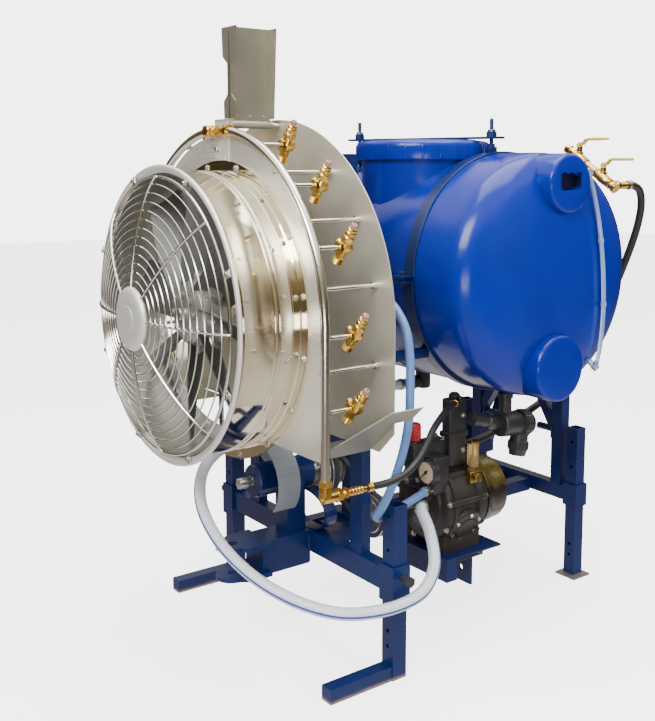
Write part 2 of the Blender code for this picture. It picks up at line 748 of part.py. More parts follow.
def belts():
    for name, low, low_r, high, high_r, span in (
        ("fan_belt", (0, DRIVE_Z), DRIVE_PULLEY_R, (0, FAN_Z), FAN_PULLEY_R, FAN_BELT_Y),
        ("pump_belt", (PUMP_X, PUMP_Z), PUMP_PULLEY_R, (0, DRIVE_Z), PUMP_PULLEY_R, PUMP_BELT_Y),
    ):
        low_r, high_r = low_r * BELT_CLEAR, high_r * BELT_CLEAR
        inner = belt_outline(low, low_r, high, high_r)
        outer = belt_outline(low, low_r + BELT_THICK, high, high_r + BELT_THICK)
        place(sheet(outer, [inner], span), name, "black")


def shaft_bearing():
    tube = turned(
        [(SHAFT_R + 0.0015, -0.425), (0.042, -0.425), (0.045, -0.420), (0.045, -0.245),
         (SHAFT_R + 0.0015, -0.245)],
        "Y", (0, 0, DRIVE_Z), 20, ring=True,
    )
    post = block((-0.030, 0.030), (-0.330, -0.270), (0.284 + GAP, 0.415))
    place(join(tube, post), "shaft_bearing", "frame_blue")


def shaft_guard():
    hood = turned(
        [(0.0458, -0.3380), (0.100, -0.3380), (0.100, -0.405), (0.103, -0.405),
         (0.103, -0.3350), (0.0458, -0.3350)],
        "Y", (0, 0, DRIVE_Z), 36, ring=True,
    )
    away = block((-0.3, 0.3), (-0.5, -0.3), (-0.4, -0.022))
    away.data.transform(
        Matrix.Translation((0, 0, DRIVE_Z)) @ Matrix.Rotation(math.radians(32), 4, "Y")
    )
    place(cut(hood, away), "shaft_guard", "guard_grey")


# ---------------------------------------------------------------- outlet
def top_flaps():
    y = (-0.482, -0.362)
    top = 1.650
    knuckle = turned(
        [(0.0068, y[0]), (0.0097, y[0]), (0.0097, y[1]), (0.0068, y[1])],
        "Y", (0.0125, 0, 1.4025), 12, ring=True,
    )
    web = block((0.0032, 0.0052), y, (1.4025, top))
    near = sheet(
        [(0.0032, 1.418), (0.027, 1.418), (0.029, 1.462), (0.009, 1.480), (0.010, 1.558),
         (0.033, 1.576), (0.037, top), (0.0032, top)], [], (y[0], y[0] + 0.002),
    )
    far = sheet([(0.0032, 1.418), (0.027, 1.418), (0.040, top), (0.0032, top)], [],
                (y[1] - 0.002, y[1]))
    pair(join(knuckle, web, near, far), "top_flap", "brushed", (0.0125, 0, 1.4025))


def bottom_deflectors():
    y = (FRONT_PLATE_Y[1] + 0.001, REAR_PLATE_Y[0] - 0.001)
    wing = [(0.300, 0.6115), (0.405, 0.6115), (0.5465, 0.7387), (0.5450, 0.7403),
            (0.4045, 0.6135), (0.300, 0.6135)]
    floor = sheet(wing, [], y)
    corner = block((0.0, 0.30), (-0.30, 0.0), (0.55, 0.80))
    corner.data.transform(
        Matrix.Translation((0.425, y[0], 0)) @ Matrix.Rotation(math.radians(43), 4, "Z")
    )
    floor = cut(floor, corner)
    tab = sheet(
        [(0.5015, 0.6990), (0.5465, 0.7387), (0.5450, 0.7403), (0.5000, 0.7006)],
        [], (-0.345, -0.292),
    )
    pair(join(floor, tab), "bottom_deflector", "brushed", (0.405, y[0], 0.6125))


def nozzle_places():
    """Where each nozzle's pivot is, top to bottom, on the right-hand side: (x, z)."""
    places = [
        (MANIFOLD_R * math.cos(math.radians(a)), FAN_Z + MANIFOLD_R * math.sin(math.radians(a)))
        for a in NOZZLE_ANGLES
    ]
    return places + [(MANIFOLD_R, z) for z in NOZZLE_LOW_Z]


def manifolds():
    arch = arc((0, FAN_Z), MANIFOLD_R, 83.5, 0.0, 16)
    low = [(MANIFOLD_R, 0.80), (MANIFOLD_R, 0.555)]
    pipe = path_tube([(x, MANIFOLD_Y, z) for x, z in arch + low], PIPE_R, 1)
    pieces = [
        bar((x, MANIFOLD_Y, z), (x, STUB_END_Y, z), 0.006, 8) for x, z in nozzle_places()
    ]
    elbow = join(
        bar((MANIFOLD_R, MANIFOLD_Y, 0.530), (MANIFOLD_R, MANIFOLD_Y, 0.585), 0.0155, 16),
        bar((MANIFOLD_R, MANIFOLD_Y, 0.545), (MANIFOLD_R, -0.462, 0.545), 0.0150, 16),
        bar((MANIFOLD_R, -0.465, 0.545), (MANIFOLD_R, -0.400, 0.545), 0.0100, 16),
    )
    right = join(pipe, *pieces, elbow)
    left = mirrored(right)
    place(right, "manifold_right", "stainless")
    z = FAN_Z + MANIFOLD_R * math.sin(math.radians(84.5))
    end_x = MANIFOLD_R * math.cos(math.radians(83.5)) - 0.003
    tee = join(
        bar((-end_x - 0.006, MANIFOLD_Y, z), (end_x, MANIFOLD_Y, z), 0.0145, 16),
        bar((-0.012, MANIFOLD_Y, z), (-0.012, MANIFOLD_Y - 0.030, z - 0.004), 0.010, 12),
    )
    place(join(left, tee), "manifold_left", "stainless")


def nozzles():
    for number, (x, z) in enumerate(nozzle_places()):
        lean = math.radians(NOZZLE_LEAN[number])
        out = Vector((math.cos(lean), 0, math.sin(lean)))
        centre = Vector((x, -0.432, z))
        hub = bar((x, STUB_END_Y + GAP, z), (x, -0.415, z), 0.0135, 8)
        barrel_piece = bar(centre - 0.030 * out, centre + 0.040 * out, 0.0085, 8)
        cap = bar(centre + 0.034 * out, centre + 0.062 * out, 0.0105, 8, 0.0085)
        knob = bar(centre - 0.044 * out, centre - 0.026 * out, 0.0075, 8, 0.0100)
        right = join(hub, barrel_piece, cap, knob)
        left = mirrored(right)
        place(right, f"nozzle_right_{number + 1}", "brass", (x, STUB_END_Y, z))
        place(left, f"nozzle_left_{number + 1}", "brass", (-x, STUB_END_Y, z))


# ---------------------------------------------------------------- pump group
def pump():
    x, z = PUMP_X, PUMP_Z
    rear, front = PUMP_Y
    case = bar((x, rear, z), (x, front, z), 0.114, 20)
    pieces = []
    for a in (90, 210, 330):
        out = Vector((math.cos(math.radians(a)), 0, math.sin(math.radians(a))))
        middle = Vector((x, 0.085, z))
        pieces.append(bar(middle + 0.06 * out, middle + 0.1245 * out, 0.052, 16))
    for side in (-1, 1):
        foot_x = x + side * 0.065
        pieces.append(
            block((foot_x - 0.020, foot_x + 0.020), (0.020, 0.160), (SHELF_TOP + GAP, 0.272))
        )
    pieces.append(block((0.165, 0.290), (-0.022, 0.035), (0.400, 0.505)))
    pieces.append(block((0.195, 0.246), (-0.060, 0.070), (0.470, 0.540)))
    pieces.append(bar((0.270, -0.035, 0.463), (0.270, -0.010, 0.463), 0.0330, 20))
    pieces.append(block((0.225, 0.262), (0.060, 0.125), (0.455, 0.665)))
    pieces.append(bar((0.245, 0.105, 0.645), (0.269, 0.073, 0.645), 0.010, 12))
    pieces.append(block((0.252, 0.306), (0.100, 0.145), (0.410, 0.460)))
    pieces.append(bar((0.288, 0.125, 0.450), (0.288, 0.125, 0.530), 0.0165, 16))
    pieces.append(bar((0.250, -0.010, 0.405), (0.3165, -0.0855, 0.3935), 0.013, 16))
    pieces.append(bar((0.262, 0.000, 0.425), (0.298, -0.060, 0.425), 0.010, 12))
    pieces.append(block((0.135, 0.165), (0.120, 0.166), (0.420, 0.483)))
    pieces.append(bar((0.150, 0.150, 0.470), (0.150, 0.1735, 0.470), 0.010, 12))
    body = join(case, *pieces)
    bore = bar((x, rear - 0.05, z), (x, front + 0.05, z), 0.0145, 20)
    place(cut(body, bore), "pump_body", "cast_brown")
    knob = turned(
        [(0.0, 0.592), (0.014, 0.592), (0.018, 0.586), (0.018, 0.546), (0.013, 0.540 + GAP),
         (0.0, 0.540 + GAP)],
        "Z", (0.222, -0.035, 0), 16,
    )
    place(knob, "pressure_knob", "red", (0.222, -0.035, 0.540))
    hand = block((-0.0009, 0.0009), (-0.0375, -0.0363), (-0.004, 0.023))
    hand.data.transform(
        Matrix.Translation((0.270, 0, 0.463)) @ Matrix.Rotation(math.radians(-135), 4, "Y")
    )
    needle = join(bar((0.270, -0.0355, 0.463), (0.270, -0.0380, 0.463), 0.004, 12), hand)
    place(needle, "gauge_needle", "black", (0.270, -0.0355, 0.463))


def pto_shield():
    rear = PUMP_Y[1] + GAP
    shield = turned(
        [(0.062, rear), (0.106, rear), (0.106, rear + 0.006), (0.101, rear + 0.010),
         (0.094, 0.262), (0.090, 0.262), (0.096, rear + 0.006), (0.062, rear + 0.004)],
        "Y", (PUMP_X, 0, PUMP_Z), 28, ring=True,
    )
    place(shield, "pto_shield", "yellow")


def suction_filter():
    body = join(
        bar((0.275, 0.240, 0.556), (0.275, 0.372, 0.542), 0.036, 24),
        bar((0.275, 0.330, 0.545), (0.275, 0.318, 0.452), 0.026, 20),
        bar((0.275, 0.130, 0.590), (0.275, 0.250, 0.556), 0.020, 16),
        bar((0.275, 0.265, 0.560), (0.275, 0.265, 0.6475), 0.018, 16),
    )
    place(body, "suction_filter", "black")


def valve_group():
    body = join(
        bar((0.120, 0.690, 1.352), (0.312, 0.690, 1.225), 0.016, 16),
        bar((0.168, 0.690, 1.320), (0.168, 0.690, 1.355), 0.012, 12),
        bar((0.262, 0.690, 1.250), (0.262, 0.690, 1.292), 0.012, 12),
        bar((0.296, 0.690, 1.236), (0.296, 0.760, 1.236), 0.012, 12),
    )
    saddle = bar((0.205, 0.690, 1.300), (0.205, 0.690, 1.2360), 0.010, 12)
    place(join(body, saddle), "valve_block", "brass")
    for name, x, z in (("valve_lever_inner", 0.168, 1.355), ("valve_lever_outer", 0.262, 1.292)):
        stem = bar((x, 0.690, z + GAP), (x, 0.690, z + 0.008), 0.010, 12)
        outline = [
            (x - 0.008, z + 0.006), (x + 0.012, z + 0.006), (x + 0.028, z + 0.022),
            (x + 0.105, z + 0.022), (x + 0.105, z + 0.025), (x + 0.026, z + 0.025),
            (x + 0.010, z + 0.009), (x - 0.008, z + 0.009),
        ]
        handle = sheet(outline, [], (0.681, 0.699))
        place(join(stem, handle), name, "yellow", (x, 0.690, z))


# ---------------------------------------------------------------- hoses
HOSES = {
    "suction_hose": (0.016, "clear_hose", [
        (0.3171, -0.0862, 0.3934), (0.336, -0.108, 0.390), (0.385, -0.122, 0.350),
        (0.426, -0.142, 0.288), (0.447, -0.188, 0.240), (0.450, -0.255, 0.219),
        (0.432, -0.345, 0.212),
        (0.385, -0.430, 0.216), (0.300, -0.500, 0.238), (0.190, -0.548, 0.276),
        (0.070, -0.570, 0.330), (-0.040, -0.560, 0.395), (-0.118, -0.512, 0.455),
        (-0.150, -0.440, 0.496), (-0.152, -0.350, 0.512), (-0.145, -0.240, 0.512),
        (-0.130, -0.120, 0.520), (-0.112, 0.000, 0.560), (-0.102, 0.090, 0.600),
        (-0.100, 0.150, 0.612), (-0.100, 0.1992, 0.612),
    ]),
    "return_hose": (0.011, "blue_hose", [
        (0.120, -0.0858, 0.995), (0.120, -0.125, 0.995), (0.155, -0.178, 0.992),
        (0.255, -0.220, 0.984), (0.370, -0.248, 0.962), (0.442, -0.262, 0.912),
        (0.470, -0.270, 0.845), (0.478, -0.275, 0.760), (0.477, -0.278, 0.690),
        (0.466, -0.286, 0.612), (0.443, -0.298, 0.528), (0.412, -0.304, 0.464),
        (0.372, -0.292, 0.424),
        (0.340, -0.245, 0.406), (0.324, -0.180, 0.408), (0.318, -0.125, 0.418),
        (0.3083, -0.0771, 0.425), (0.2984, -0.0607, 0.425),
    ]),
    "pressure_hose": (0.009, "black", [
        (0.465, -0.3992, 0.545), (0.466, -0.375, 0.545), (0.480, -0.335, 0.552),
        (0.487, -0.290, 0.568), (0.468, -0.235, 0.588), (0.436, -0.180, 0.610),
        (0.400, -0.125, 0.631), (0.360, -0.060, 0.645), (0.320, 0.000, 0.650),
        (0.287, 0.049, 0.645), (0.2695, 0.0724, 0.645),
    ]),
    "feed_hose": (0.012, "black", [
        (0.296, 0.7608, 1.236), (0.296, 0.790, 1.236), (0.297, 0.826, 1.218),
        (0.288, 0.848, 1.165), (0.268, 0.854, 1.090), (0.238, 0.850, 1.000),
        (0.200, 0.842, 0.900), (0.158, 0.828, 0.800), (0.115, 0.800, 0.700),
        (0.080, 0.755, 0.605), (0.062, 0.690, 0.535), (0.060, 0.610, 0.500),
        (0.075, 0.520, 0.486), (0.100, 0.430, 0.478), (0.130, 0.330, 0.472),
        (0.150, 0.230, 0.470), (0.150, 0.1743, 0.470),
    ]),
}


def hoses():
    for name, (radius, look_name, route) in HOSES.items():
        curve = bpy.data.curves.new(name, "CURVE")
        curve.dimensions = "3D"
        curve.bevel_depth = radius
        curve.bevel_resolution = 2
        curve.use_fill_caps = True
        start, end = Vector(route[0]), Vector(route[-1])
        leaving = (Vector(route[1]) - start).normalized()
        arriving = (end - Vector(route[-2])).normalized()
        points = smooth_route(route, radius * 4.4)
        points.insert(1, start + radius * leaving)
        points.insert(-1, end - radius * arriving)
        spline = curve.splines.new("POLY")
        spline.points.add(len(points) - 1)
        for point, at in zip(spline.points, points):
            point.co = (*at, 1.0)
        curve.materials.append(look(look_name))
        PARTS.objects.link(bpy.data.objects.new(name, curve))


clear_scene()
PARTS = collection("air_blast_sprayer")
for build in (
    rear_frame, front_frame, chassis_rails, drawbar_clevis, hitch_mast, legs, leg_screws,
    tank, tank_lid, clamp_bar, saddles, level_tube,
    fan_drum, front_plate, rear_plate, top_bracket, fan_guard, fan_rotor, shafts, belts,
    shaft_bearing, shaft_guard, top_flaps, bottom_deflectors, manifolds, nozzles,
    pump, pto_shield, suction_filter, valve_group, hoses,
):
    build()
strap(ROD_Y[0], "strap_right", 1)
strap(ROD_Y[1], "strap_left", -1)
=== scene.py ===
"""Looks of the tractor-mounted air-blast sprayer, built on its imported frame."""
import math

import bmesh
import bpy
from mathutils import Matrix, Vector


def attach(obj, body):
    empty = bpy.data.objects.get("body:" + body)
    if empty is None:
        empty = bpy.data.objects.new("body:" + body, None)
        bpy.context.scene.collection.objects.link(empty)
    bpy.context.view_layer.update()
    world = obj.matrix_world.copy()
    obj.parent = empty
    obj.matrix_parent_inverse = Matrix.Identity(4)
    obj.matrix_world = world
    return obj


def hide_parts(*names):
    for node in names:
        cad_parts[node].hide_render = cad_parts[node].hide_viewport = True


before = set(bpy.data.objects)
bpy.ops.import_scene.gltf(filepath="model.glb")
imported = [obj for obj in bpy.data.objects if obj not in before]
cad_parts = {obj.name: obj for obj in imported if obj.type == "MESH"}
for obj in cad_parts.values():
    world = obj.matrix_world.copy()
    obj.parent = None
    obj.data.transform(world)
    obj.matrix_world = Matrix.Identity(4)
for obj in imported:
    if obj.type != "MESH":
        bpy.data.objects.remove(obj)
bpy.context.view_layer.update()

# Metres, the same frame as the CAD.
FAN_Z = 0.9225
DRUM_R = 0.36
DRUM_WALL = 0.004
DRUM_Y = (-0.684, -0.5038)
FRONT_PLATE_Y = (-0.5035, -0.5005)
REAR_PLATE_Y = (-0.339, -0.336)
FRONT_ARCH_R = 0.455
REAR_ARCH_R = 0.495
FRONT_FOOT_Z = 0.615
MANIFOLD_R = 0.465
MANIFOLD_Y = -0.5155
NOZZLE_ANGLES = (66.0, 45.0, 24.0)
NOZZLE_LOW_Z = (0.912, 0.742)
NOZZLE_LEAN = (60.0, 57.0, 54.0, 51.0, 48.0)
STUB_END_Y = -0.452
STUD_RING_R = 0.435
STUD_ANGLES = (55.5, 34.5, 12.5)
LOW_STUD_Z = 0.827
DRIVE_Z = 0.444
PUMP = Vector((0.2, 0.0, 0.352))
TANK_Y = 0.28
TANK_Z = 0.995
TANK_R = 0.338
TANK_FLAT = 0.36
DOME_DEPTH = 0.115
NECK_Y = 0.18
NECK_R = 0.18
LID_R = 0.197
LID_Z = (1.3135, 1.372)
STRAP_X = 0.222
ROD_Y = (0.243, 0.116)
FRAME_BODY = "sprayer"
# +Y is ahead, towards the tractor; the fan is at the back.
AHEAD, BACK, UP, DOWN, RIGHT = (0, 1, 0), (0, -1, 0), (0, 0, 1), (0, 0, -1), (1, 0, 0)
SIDES = (("right", 1), ("left", -1))
FAN_AXIS = ("Y", (0, 0, FAN_Z))
NECK_AXIS = ("Z", (0, NECK_Y, 0))
GAUGE = (0.27, 0, 0.463)
GAUGE_AXIS = ("Y", GAUGE)
FAN_BLADES = 8
BLADE_R = (0.066, 0.343)
BLADE_Y = -0.578
BLADE_START = 11
VALVE_Y = 0.69


# ---------------------------------------------------------------- materials
def add_node(tree, kind, **values):
    """A new node, with values for some of its inputs."""
    node = tree.nodes.new("ShaderNode" + kind)
    for name, value in values.items():
        node.inputs[name.replace("_", " ")].default_value = value
    return node


def fill_ramp(node, stops):
    """Stops of (place, colour), where a single number is a grey."""
    marks = node.color_ramp.elements
    while len(marks) < len(stops):
        marks.new(0.5)
    for mark, (where, colour) in zip(marks, stops):
        mark.position = where
        grey = isinstance(colour, (int, float))
        mark.color = (colour, colour, colour, 1) if grey else (*colour, 1)


class Nodes:
    """A short way to wire one procedural material."""

    def __init__(self, name):
        self.material = bpy.data.materials.new(name)
        self.material.use_nodes = True
        self.tree = self.material.node_tree
        self.shader = self.tree.nodes["Principled BSDF"]
        self.place = self.new("TexCoord").outputs["Object"]

    def new(self, kind, **values):
        return add_node(self.tree, kind, **values)

    def link(self, output, node, socket):
        self.tree.links.new(output, node.inputs[socket])

    def feed(self, node, *values):
        """Gives each (socket, value) a number, a colour or another node's output."""
        for socket, value in values:
            if isinstance(value, (int, float)):
                node.inputs[socket].default_value = value
            elif isinstance(value, tuple):
                node.inputs[socket].default_value = (*value, 1)
            else:
                self.link(value, node, socket)

    def noise(self, scale, detail=3.0, rough=0.5, stretch=(1, 1, 1), twist=0.0):
        node = self.new("TexNoise", Scale=scale, Detail=detail, Roughness=rough, Distortion=twist)
        scaled = self.new("Mapping", Scale=stretch)
        self.link(self.place, scaled, "Vector")
        self.link(scaled.outputs["Vector"], node, "Vector")
        return node.outputs["Fac"]

    def ramp(self, value, stops):
        node = self.new("ValToRGB")
        fill_ramp(node, stops)
        self.link(value, node, "Fac")
        return node.outputs["Color"]

    def mix(self, factor, first, second):
        node = self.new("Mix")
        node.data_type = "RGBA"
        self.feed(node, (0, factor), (6, first), (7, second))
        return node.outputs[2]

    def maths(self, operation, first, second=0.0):
        node = self.new("Math")
        node.operation = operation
        self.feed(node, (0, first), (1, second))
        return node.outputs[0]

    def height(self):
        node = self.new("SeparateXYZ")
        self.link(self.place, node, "Vector")
        return node.outputs[2]

    def colour(self, value):
        self.link(value, self.shader, "Base Color")

    def rough(self, value, low, high):
        node = self.new("MapRange", To_Min=low, To_Max=high)
        self.link(value, node, "Value")
        self.link(node.outputs["Result"], self.shader, "Roughness")

    def bump(self, value, strength, distance):
        node = self.new("Bump", Strength=strength, Distance=distance)
        self.link(value, node, "Height")
        self.link(node.outputs["Normal"], self.shader, "Normal")

    def set(self, **values):
        for name, value in values.items():
            self.shader.inputs[name.replace("_", " ")].default_value = value
        return self.material


def blue_enamel(name, low, high):
    """Dark blue machine enamel with a slight orange peel, to be coloured by its caller."""
    n = Nodes(name)
    patch = n.noise(9.0, 4.0)
    fine = n.noise(70.0, 4.0, 0.6)
    n.rough(fine, low, high)
    n.bump(fine, 0.25, 0.0012)
    n.set(Specular_IOR_Level=0.45)
    return n, n.mix(patch, (0.002, 0.009, 0.06), (0.004, 0.018, 0.105))


def frame_paint():
    """The frame's enamel, lighter where small chips are worn."""
    n, base = blue_enamel("frame_paint", 0.2, 0.42)
    chips = n.ramp(n.noise(130.0, 5.0, 0.7), [(0.7, 0.0), (0.735, 1.0)])
    worn = n.maths("MULTIPLY", chips, n.ramp(n.noise(11.0, 2.0), [(0.5, 0.0), (0.62, 1.0)]))
    n.colour(n.mix(worn, base, (0.05, 0.07, 0.13)))
    return n.material


def leg_paint():
    """The same enamel, worn to brown metal where the foot meets the ground."""
    n, base = blue_enamel("leg_paint", 0.24, 0.46)
    rusty = n.mix(n.noise(60.0, 5.0, 0.7), (0.1, 0.065, 0.045), (0.26, 0.21, 0.17))
    edge = n.maths("ADD", n.height(), n.maths("MULTIPLY", n.noise(30.0, 4.0), 0.006))
    n.colour(n.mix(n.ramp(edge, [(0.0085, 1.0), (0.0125, 0.0)]), base, rusty))
    return n.material


def tank_plastic():
    """Glossy blue polyethylene with the soft waves a rotational mould leaves."""
    n = Nodes("tank_plastic")
    wave = n.noise(5.5, 2.0, 0.4, twist=0.6)
    fine = n.noise(160.0, 3.0, 0.6)
    n.colour(n.mix(wave, (0.0, 0.008, 0.185), (0.0, 0.017, 0.28)))
    n.rough(fine, 0.16, 0.27)
    both = n.maths("ADD", wave, n.maths("MULTIPLY", fine, 0.03))
    n.bump(both, 0.35, 0.012)
    return n.set(Specular_IOR_Level=0.36)


def polished_steel(name, tint, low, high):
    """Bright stainless sheet: rolling streaks, faint smears and shallow dents."""
    n = Nodes(name)
    streak = n.noise(3.0, 5.0, 0.65, stretch=(1, 60, 1))
    smear = n.noise(7.0, 4.0, 0.6, twist=1.2)
    dark = tuple(c * 0.8 for c in tint)
    n.colour(n.mix(n.maths("MULTIPLY", streak, smear), tint, dark))
    n.rough(smear, low, high)
    dent = n.noise(6.0, 2.0, 0.4)
    both = n.maths("ADD", n.maths("MULTIPLY", dent, 0.35), n.maths("MULTIPLY", streak, 0.008))
    n.bump(both, 0.2, 0.01)
    return n.set(Metallic=1.0)


def brushed_steel(name, tint, stretch, rough=(0.2, 0.46), metal=1.0):
    """Mill-finish sheet with a directional grain, smudges and a few scratches."""
    n = Nodes(name)
    grain = n.noise(6.0, 6.0, 0.7, stretch=stretch)
    smudge = n.noise(8.0, 5.0, 0.6, twist=0.8)
    scratch = n.ramp(n.noise(22.0, 2.0, 0.5, stretch=(1, 1, 14), twist=2.0),
                     [(0.7, 0.0), (0.712, 1.0)])
    dark = tuple(c * 0.72 for c in tint)
    bright = tuple(min(1.0, c * 1.25) for c in tint)
    base = n.mix(smudge, tint, dark)
    n.colour(n.mix(n.maths("MULTIPLY", scratch, 0.4), base, bright))
    n.rough(n.maths("ADD", n.maths("MULTIPLY", grain, 0.5), n.maths("MULTIPLY", smudge, 0.5)),
            *rough)
    n.bump(grain, 0.1, 0.0008)
    return n.set(Metallic=metal)


def brass(name="brass", tint=(0.83, 0.55, 0.13)):
    n = Nodes(name)
    stain = n.noise(60.0, 4.0, 0.6)
    dark = (tint[0] * 0.62, tint[1] * 0.52, tint[2] * 0.45)
    n.colour(n.mix(n.ramp(stain, [(0.4, 0.0), (0.72, 1.0)]), tint, dark))
    n.rough(stain, 0.12, 0.34)
    n.bump(n.noise(400.0, 3.0), 0.12, 0.0006)
    return n.set(Metallic=1.0)


def cast_paint():
    """The pump's dark brown-black painted casting."""
    n = Nodes("cast_paint")
    sand = n.noise(330.0, 4.0, 0.6)
    patch = n.noise(22.0, 3.0)
    n.colour(n.mix(patch, (0.011, 0.009, 0.008), (0.034, 0.027, 0.024)))
    n.rough(patch, 0.3, 0.52)
    n.bump(sand, 0.35, 0.0012)
    return n.set(Specular_IOR_Level=0.4)


def rubber(name="rubber", tint=(0.016, 0.016, 0.018), rough=(0.42, 0.62)):
    n = Nodes(name)
    fine = n.noise(180.0, 4.0, 0.6)
    dust = n.noise(14.0, 3.0)
    lighter = tuple(c + 0.022 for c in tint)
    n.colour(n.mix(dust, tint, lighter))
    n.rough(fine, *rough)
    n.bump(fine, 0.2, 0.001)
    return n.material


def enamel(name, tint, low=0.18, high=0.36):
    """A small part's gloss paint or moulded plastic."""
    n = Nodes(name)
    fine = n.noise(120.0, 4.0, 0.6)
    dull = tuple(c * 0.7 for c in tint)
    n.colour(n.mix(n.ramp(n.noise(26.0, 4.0), [(0.35, 0.0), (0.8, 1.0)]), tint, dull))
    n.rough(fine, low, high)
    n.bump(fine, 0.15, 0.0008)
    return n.set(Coat_Weight=0.2, Coat_Roughness=0.1)


def shield_with_painted_shade():
    """Amber plastic with painted shade: near-black brown low down, where the shield's lower part
    lies in shadow.
    """
    n = Nodes("amber_shield")
    edge = n.maths("ADD", n.height(), n.maths("MULTIPLY", n.noise(16.0, 5.0, 0.6), 0.1))
    amber_above_shade = n.ramp(edge, [(0.43, 0.0), (0.475, 1.0)])
    amber = n.mix(n.noise(24.0, 3.0), (0.075, 0.05, 0.006), (0.15, 0.105, 0.014))
    # Below a wavy line by height the amber gives way to near-black brown: painted shade on the
    # lower part.
    n.colour(n.mix(amber_above_shade, (0.018, 0.014, 0.01), amber))
    n.rough(n.noise(60.0, 3.0), 0.16, 0.36)
    return n.set(Coat_Weight=0.2, Coat_Roughness=0.1)


def guard_plastic():
    """The grey-green half-round guard, scuffed and dusty."""
    n = Nodes("guard_plastic")
    scuff = n.noise(18.0, 6.0, 0.7, twist=1.0)
    n.colour(n.mix(scuff, (0.115, 0.13, 0.145), (0.2, 0.22, 0.24)))
    n.rough(scuff, 0.42, 0.66)
    n.bump(n.noise(90.0, 4.0), 0.25, 0.0012)
    return n.material


def hose_look(name, body, thread, stripe=None, gloss=0.22):
    """A braided hose: the weave runs both ways round it, with a stripe along it if asked."""
    n = Nodes(name)
    uv = n.new("UVMap")
    uv.uv_map = "round"
    parts = n.new("SeparateXYZ")
    n.link(uv.outputs["UV"], parts, "Vector")
    along, around = parts.outputs[0], parts.outputs[1]
    weave = None
    for sign in ("ADD", "SUBTRACT"):
        lean = n.maths(sign, n.maths("MULTIPLY", along, 1.0), n.maths("MULTIPLY", around, 6.0))
        line = n.maths("ABSOLUTE", n.maths("SINE", n.maths("MULTIPLY", lean, math.pi)))
        thin = n.maths("LESS_THAN", line, 0.2)
        weave = thin if weave is None else n.maths("MAXIMUM", weave, thin)
    haze = n.noise(30.0, 3.0)
    base = n.mix(haze, body, tuple(min(1.0, c * 1.18) for c in body))
    base = n.mix(n.maths("MULTIPLY", weave, 0.55), base, thread)
    if stripe:
        band = n.maths("LESS_THAN", n.maths("ABSOLUTE", n.maths("SUBTRACT", around, 0.5)), 0.03)
        base = n.mix(band, base, stripe)
    n.colour(base)
    n.rough(haze, gloss, gloss + 0.14)
    n.bump(weave, 0.25, 0.0006)
    return n.set(Specular_IOR_Level=0.5, Coat_Weight=0.15, Coat_Roughness=0.1)


def clear_plastic(name, tint, rough=0.1):
    n = Nodes(name)
    haze = n.noise(25.0, 3.0)
    n.colour(n.mix(haze, tint, tuple(min(1.0, c * 1.15) for c in tint)))
    n.rough(haze, rough, rough + 0.12)
    return n.set(Transmission_Weight=0.55, IOR=1.45, Coat_Weight=0.3)


LOOK = {
    "paint": frame_paint(),
    "leg": leg_paint(),
    "tank": tank_plastic(),
    # The polished steel's warm golden tint is a painted reflection of warm surroundings, not the
    # steel's own colour.
    "steel": polished_steel("polished_steel", (0.78, 0.71, 0.56), 0.04, 0.12),
    "wire": polished_steel("wire_steel", (0.74, 0.72, 0.68), 0.12, 0.28),
    "plate": brushed_steel("plate_steel", (0.7, 0.675, 0.58), (60, 1, 1), (0.34, 0.56), 0.72),
    "flap": brushed_steel("flap_steel", (0.46, 0.44, 0.35), (1, 60, 1), (0.3, 0.5), 0.85),
    "front": brushed_steel("front_steel", (0.84, 0.82, 0.76), (1, 1, 40), (0.2, 0.38), 0.7),
    "zinc": brushed_steel("zinc_steel", (0.66, 0.66, 0.64), (20, 20, 20)),
    "satin": brushed_steel("satin_steel", (0.84, 0.83, 0.8), (20, 1, 20), (0.4, 0.58), 0.7),
    # Darker, rougher steel for the drum's inner wall: its darkness is painted shade inside the
    # duct.
    "inner_shade": brushed_steel("inner_wall_painted_shade", (0.46, 0.45, 0.41), (20, 1, 20), (0.35, 0.52), 0.85),
    "stator": brushed_steel("stator_steel", (0.86, 0.85, 0.82), (20, 1, 20), (0.35, 0.52), 0.6),
    "blade": brushed_steel("blade_alloy", (0.15, 0.15, 0.147), (30, 30, 1), (0.4, 0.6), 0.85),
    "hub": brushed_steel("hub_alloy", (0.46, 0.455, 0.44), (20, 20, 20), (0.3, 0.5), 0.8),
    "brass": brass(),
    "dark_brass": brass("dark_brass", (0.4, 0.29, 0.1)),
    "cast": cast_paint(),
    "rubber": rubber(),
    "black": rubber("black_plastic", (0.012, 0.012, 0.014), (0.28, 0.45)),
    "red": enamel("red_plastic", (0.42, 0.006, 0.012)),
    "yellow": enamel("yellow_paint", (0.78, 0.56, 0.015)),
    "grip": enamel("lever_grip", (0.74, 0.6, 0.03), 0.3, 0.45),
    "black_cast": rubber("black_cast", (0.01, 0.01, 0.011), (0.26, 0.44)),
    "amber": shield_with_painted_shade(),
    "white": enamel("white_plastic", (0.8, 0.79, 0.76), 0.25, 0.4),
    "tip": enamel("nozzle_tip", (0.32, 0.17, 0.13), 0.2, 0.35),
    "cream": enamel("gauge_cream", (0.72, 0.58, 0.4), 0.3, 0.45),
    "guard": guard_plastic(),
    "pocket": enamel("pocket_blue", (0.001, 0.003, 0.03), 0.4, 0.6),
    "suction": hose_look("braided_clear", (0.5, 0.53, 0.57), (0.9, 0.92, 0.95),
                         (0.008, 0.06, 0.34)),
    "return": hose_look("braided_blue", (0.075, 0.155, 0.36), (0.17, 0.28, 0.5), None, 0.28),
    "feed": hose_look("ribbed_black", (0.01, 0.01, 0.011), (0.022, 0.022, 0.024), None, 0.36),
    "level": clear_plastic("level_clear", (0.34, 0.46, 0.66)),
    "sight": clear_plastic("oil_sight", (0.34, 0.24, 0.09)),
}


